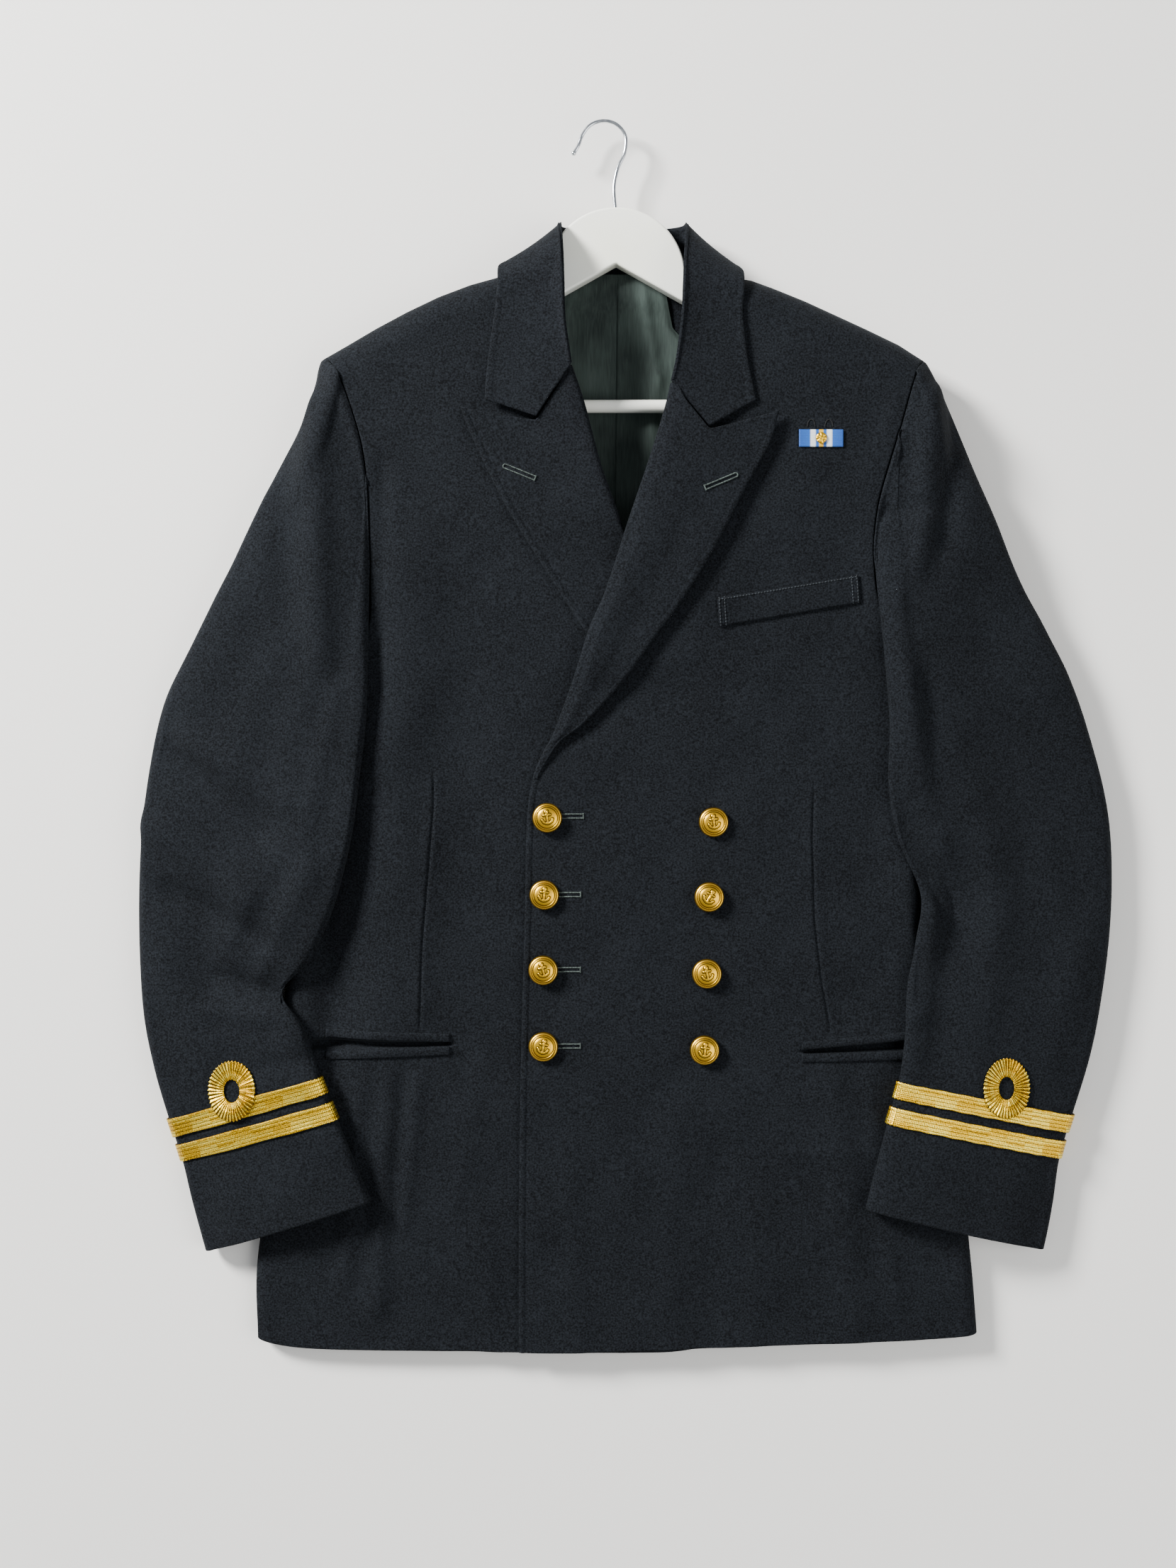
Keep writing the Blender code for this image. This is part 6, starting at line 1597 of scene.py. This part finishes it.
def buttonhole_paths(start, end, half, rounded):
    """Two purled edges from start to end, a round end when asked, and a bar tack at the far end."""
    start, end = np.array(start, float), np.array(end, float)
    way = (end - start) / np.linalg.norm(end - start)
    side_way = np.array([-way[1], way[0]])
    if rounded:
        turn = np.linspace(math.pi / 2, 3 * math.pi / 2, 14)[:, None]
        bend = start + half * (np.cos(turn) * way + np.sin(turn) * side_way)
        loop = np.concatenate([line_of(end + half * side_way, start + half * side_way), bend[1:-1],
                               line_of(start - half * side_way, end - half * side_way)])
        paths = [loop]
    else:
        paths = [line_of(start + half * side_way, end + half * side_way),
                 line_of(start - half * side_way, end - half * side_way)]
    return paths + [line_of(end + (half + 0.7) * side_way, end - (half + 0.7) * side_way)]


# %% Buttonholes, thread loops and stitches
over_front = [cloth_pieces["front_left"]]
hole_half = 1.45
hole_ends = (-30.6, -32.6, -32.8, -32.8)
for k in range(4):
    x, y = BUTTONS["x"][k], BUTTONS["y"][k] + (1.2 if k == 0 else 0.2)
    paths = buttonhole_paths((x + BUTTON_RADIUS - 2.5, y), (hole_ends[k], y), hole_half, False)
    sewn(f"worked_buttonhole_{k + 1}", paths, 0.48, hole_thread, over_front)
LAPEL_HOLES = {"right": ((-86.0, 191.9), (-64.8, 183.4)), "left": ((77.0, 185.0), (55.3, 175.7))}
for side, (start, end) in LAPEL_HOLES.items():
    sewn(f"lapel_buttonhole_{side}", buttonhole_paths(start, end, hole_half, True), 0.48, hole_thread,
         [cloth_pieces[f"lapel_{side}"]])

loops = []
for x in (131.2, 143.8):
    turn = np.linspace(0, math.pi, 22)[:, None]
    flat = np.concatenate([x + 2.8 * np.cos(turn), 220.4 + 5.2 * np.sin(turn)], axis=1)
    loops.append(flat)
sewn("ribbon_thread_loops", loops, 0.32, black_thread, over_front)

welt = [cloth_pieces["breast_welt"]]
ul, ur, lr, ll = (np.array(c, float) for c in welt_corners)
inner = (ur - ul) / np.linalg.norm(ur - ul)
rows_of = [line_of(ul + inner * step, ll + inner * step) for step in (1.2, 5.0)]
rows_of += [line_of(ur - inner * step, lr - inner * step) for step in (1.2, 5.0)]
rows_of += [line_of(ul + (1, -1.4), ur - (1, 1.4))]
sewn("welt_stitches", rows_of, 0.24, dark_thread, welt, stitch=2.2, swell=0.85)

# %% [markdown]
# ## The hanger
# A hanger is sawn from a board, its edges are rounded and it is dipped in white lacquer. The hook is
# a bent wire with a ball at its tip. The board's outline is taken from the frame and smoothed.

# %% Board, bar and hook
def board_outline():
    """The frame's outline: a round head, a sloping arm, and the same mirrored, resampled every 2 mm."""
    angle = np.radians(np.linspace(90, 0, 60))
    head = np.stack([BOARD_HEAD["x"] + BOARD_HEAD["radius"] * np.cos(angle),
                     BOARD_HEAD["y"] + BOARD_HEAD["radius"] * np.sin(angle)], axis=1)
    arm = np.stack([BOARD_ARM["x"], BOARD_ARM["y"]], axis=1)
    half = np.concatenate([head, arm])
    mirror = half[::-1][:-1] * (-1, 1) + (2 * CENTRE_X, 0)
    outline = np.concatenate([half, [(CENTRE_X, BOARD_NOTCH)], mirror])
    closed = np.concatenate([outline, outline[:1]])
    length = np.concatenate([[0], np.cumsum(np.linalg.norm(np.diff(closed, axis=0), axis=1))])
    at = np.arange(0, length[-1], 2.0)
    return np.stack([np.interp(at, length, closed[:, 0]), np.interp(at, length, closed[:, 1])], axis=1)


def board_piece(paint):
    """The outline moved in by r (1 - cos) while z climbs by r sin, round both rims."""
    outline = board_outline()
    run = np.roll(outline, -2, axis=0) - np.roll(outline, 2, axis=0)
    out = np.stack([run[:, 1], -run[:, 0]], axis=-1)
    out /= np.linalg.norm(out, axis=-1, keepdims=True)
    if out[0, 1] < 0:
        out = -out
    turn = np.radians(np.linspace(90, 0, 7))
    round_low = [(1.8 * (1 - math.cos(a)), 1.8 * (1 - math.sin(a))) for a in turn]
    round_high = [(inset, BOARD_THICK - z) for inset, z in reversed(round_low)]
    rings = [np.concatenate([outline - out * inset, np.full((len(outline), 1), BOARD_LOW + z)], axis=1)
             for inset, z in round_low + round_high]
    points = np.concatenate(rings)
    count = len(outline)
    number = np.arange(len(points)).reshape(len(rings), count)
    closed = np.concatenate([number, number[:, :1]], axis=1)
    return add_piece("lacquered_board", points, [quads(closed), number[:1, ::-1], number[-1:]], paint,
                     "hanger_board")


def wire_piece(paint):
    """A circle of 20 sides along the hook's smooth route, ending in a small ball."""
    spots = np.array(HOOK)
    places = np.concatenate([[0], np.cumsum(np.linalg.norm(np.diff(spots, axis=0), axis=1))])
    at = np.linspace(0, places[-1], 150)
    middle = BOARD_LOW + BOARD_THICK / 2
    path = np.stack([curve(places, spots[:, 0], at), curve(places, spots[:, 1], at),
                     np.full(len(at), middle)], axis=-1)
    left = places[-1] - at
    ball = np.where(left < 3.4, 1.9 * np.sqrt(np.maximum(1 - ((left - 1.7) / 1.75) ** 2, 0.01)), 0)
    size = np.maximum(np.where(left > 1.7, WIRE_RADIUS * 0.93, 0), ball)
    way = np.gradient(path, axis=0)
    way /= np.linalg.norm(way, axis=1, keepdims=True)
    side_way = np.cross(way, (0, 0, 1.0))
    angle = np.linspace(0, 2 * math.pi, 21)[:-1][None, :, None]
    circle = np.cos(angle) * side_way[:, None] + np.sin(angle) * np.array([0, 0, 1.0])
    rings = path[:, None] + size[:, None, None] * circle
    quad, fan = cord_faces(len(path), 20, 0)
    return add_piece("chromed_hook", rings.reshape(-1, 3), [quad, fan], paint,
                     "hanger_hook")


def bar_piece(paint):
    """A round rail of 40 sides with rounded ends."""
    share = np.array([0, 0.3, 0.6, 0.85, 1.0])
    ends = 1.2 * (1 - np.sqrt(1 - (1 - share) ** 2 * 0.99))
    along = np.concatenate([-BAR_HALF + 1.2 * share, np.linspace(-BAR_HALF + 4, BAR_HALF - 4, 30),
                            BAR_HALF - 1.2 * share[::-1]])
    size = BAR_RADIUS - np.concatenate([ends, np.zeros(30), ends[::-1]])
    angle = np.linspace(0, 2 * math.pi, 41)[:-1][None, :]
    x = CENTRE_X + along[:, None] + 0 * angle
    y = BAR_Y + size[:, None] * np.cos(angle)
    z = BOARD_LOW + BOARD_THICK / 2 + size[:, None] * np.sin(angle)
    quad, fan = cord_faces(len(along), 40, 0)
    return add_piece("lacquered_bar", np.stack([x, y, z], axis=-1).reshape(-1, 3), [quad, fan], paint,
                     "trouser_bar")


board_piece(lacquer)
wire_piece(chrome)
bar_piece(lacquer)

# %% [markdown]
# ## Cloth facts
# Each piece of cloth is listed with the size that it was cut to, measured once on its finished shell, and each is
# printed beside the area of its drawn shell. Each piece of cloth is declared with the size that it was cut to,
# measured once on its finished shell.

# %% Sheets
SHEETS = {
    "front_left": (0.36, 0.80, 0.2008, "laid", ["front_right", "back_left"]),
    "front_right": (0.36, 0.80, 0.2035, "laid", ["back_right"]),
    "back_left": (0.275, 0.79, 0.1742, "laid", ["pale_floor"]),
    "back_right": (0.275, 0.79, 0.1735, "laid", ["pale_floor"]),
    "lapel_left": (0.085, 0.30, 0.0152, "folded", ["front_left"]),
    "lapel_right": (0.10, 0.20, 0.0131, "folded", ["front_right"]),
    "collar": (0.42, 0.085, 0.0268, "folded", ["front_left", "front_right", "hanger_board"]),
    "topsleeve_left": (0.22, 0.66, 0.098, "laid", ["undersleeve_left"]),
    "topsleeve_right": (0.22, 0.66, 0.0988, "laid", ["undersleeve_right"]),
    "undersleeve_left": (0.17, 0.65, 0.0705, "laid", ["pale_floor"]),
    "undersleeve_right": (0.17, 0.65, 0.063, "laid", ["pale_floor"]),
    "lace_upper_left": (0.013, 0.30, 0.00383, "laid", ["topsleeve_left"]),
    "lace_lower_left": (0.013, 0.30, 0.00382, "laid", ["topsleeve_left"]),
    "lace_upper_right": (0.013, 0.275, 0.00353, "laid", ["topsleeve_right"]),
    "lace_lower_right": (0.013, 0.28, 0.00358, "laid", ["topsleeve_right"]),
    "lace_curl_left": (0.012, 0.112, 0.00132, "folded", ["lace_upper_left"]),
    "lace_curl_right": (0.012, 0.112, 0.00132, "folded", ["lace_upper_right"]),
    "breast_welt": (0.102, 0.022, 0.00204, "laid", ["front_left"]),
    "pocket_jet_upper_left": (0.08, 0.01, 0.0005, "laid", ["front_left"]),
    "pocket_jet_lower_left": (0.08, 0.01, 0.0005, "laid", ["front_left"]),
    "pocket_jet_upper_right": (0.09, 0.01, 0.00058, "laid", ["front_right"]),
    "pocket_jet_lower_right": (0.09, 0.01, 0.00057, "laid", ["front_right"]),
    "back_lining": (0.18, 0.28, 0.0388, "laid", ["back_left", "back_right"]),
    "ribbon_bar": (0.032, 0.0125, 0.00039, "laid", ["front_left"])}
for name, (width, length, area, held, below) in SHEETS.items():
    piece = cloth_pieces[name]
    print(name, "cut", area, "drawn", round(piece["cloth_area"], 5))
    del piece["cloth_area"]

# %% [markdown]
# ## Floor, light and camera
# The jacket is seen from straight above, as it was photographed, on a plain pale floor. One large
# soft light stands at the upper left and a pale sky fills the shade.

# %% Floor
def linked(name, data, place=(0, 0, 0)):
    """A scene object for a light or camera."""
    made = bpy.data.objects.new(name, data)
    made.location = place
    bpy.context.scene.collection.objects.link(made)
    return made


floor_mesh = bpy.data.meshes.new("pale_floor")
floor_corners = [(-4, -4, -0.0004), (4, -4, -0.0004), (4, 4, -0.0004), (-4, 4, -0.0004)]
floor_mesh.from_pydata(floor_corners, [], [(0, 1, 2, 3)])
floor = linked("pale_floor", floor_mesh)
floor_paint, floor_tree, floor_shader, _ = finish_of("plain_pale_floor", "#e9e7e2", 0.8, 0.0)
floor_mesh.materials.append(floor_paint)

# %% Light and camera
def soft_panel(name, place, aim, size, power):
    """A square area light turned to face a point."""
    data = bpy.data.lights.new(name, "AREA")
    data.size = size
    data.energy = power
    made = linked(name, data, place)
    way = np.array(aim) - np.array(place)
    made.rotation_mode = "XYZ"
    made.rotation_euler = (math.atan2(math.hypot(way[0], way[1]), -way[2]), 0, math.atan2(-way[0], way[1]))
    return made


soft_panel("window_light", (-2.1, 1.5, 1.45), (0.1, -0.05, 0), 0.7, 300.0)
soft_panel("fill_light", (1.6, -0.5, 1.6), (0.2, 0, 0), 1.8, 40.0)
sky = bpy.data.worlds.new("pale_sky")
sky.use_nodes = True
sky.node_tree.nodes["Background"].inputs["Color"].default_value = linear("#eef1f6")
sky.node_tree.nodes["Background"].inputs["Strength"].default_value = 0.55
bpy.context.scene.world = sky

lens = bpy.data.cameras.new("above")
lens.sensor_fit = "VERTICAL"
lens.angle = 2 * math.atan(1106 / 2500)
eye = linked("above", lens, (-0.0273, -0.0333, 1.3))
bpy.context.scene.camera = eye
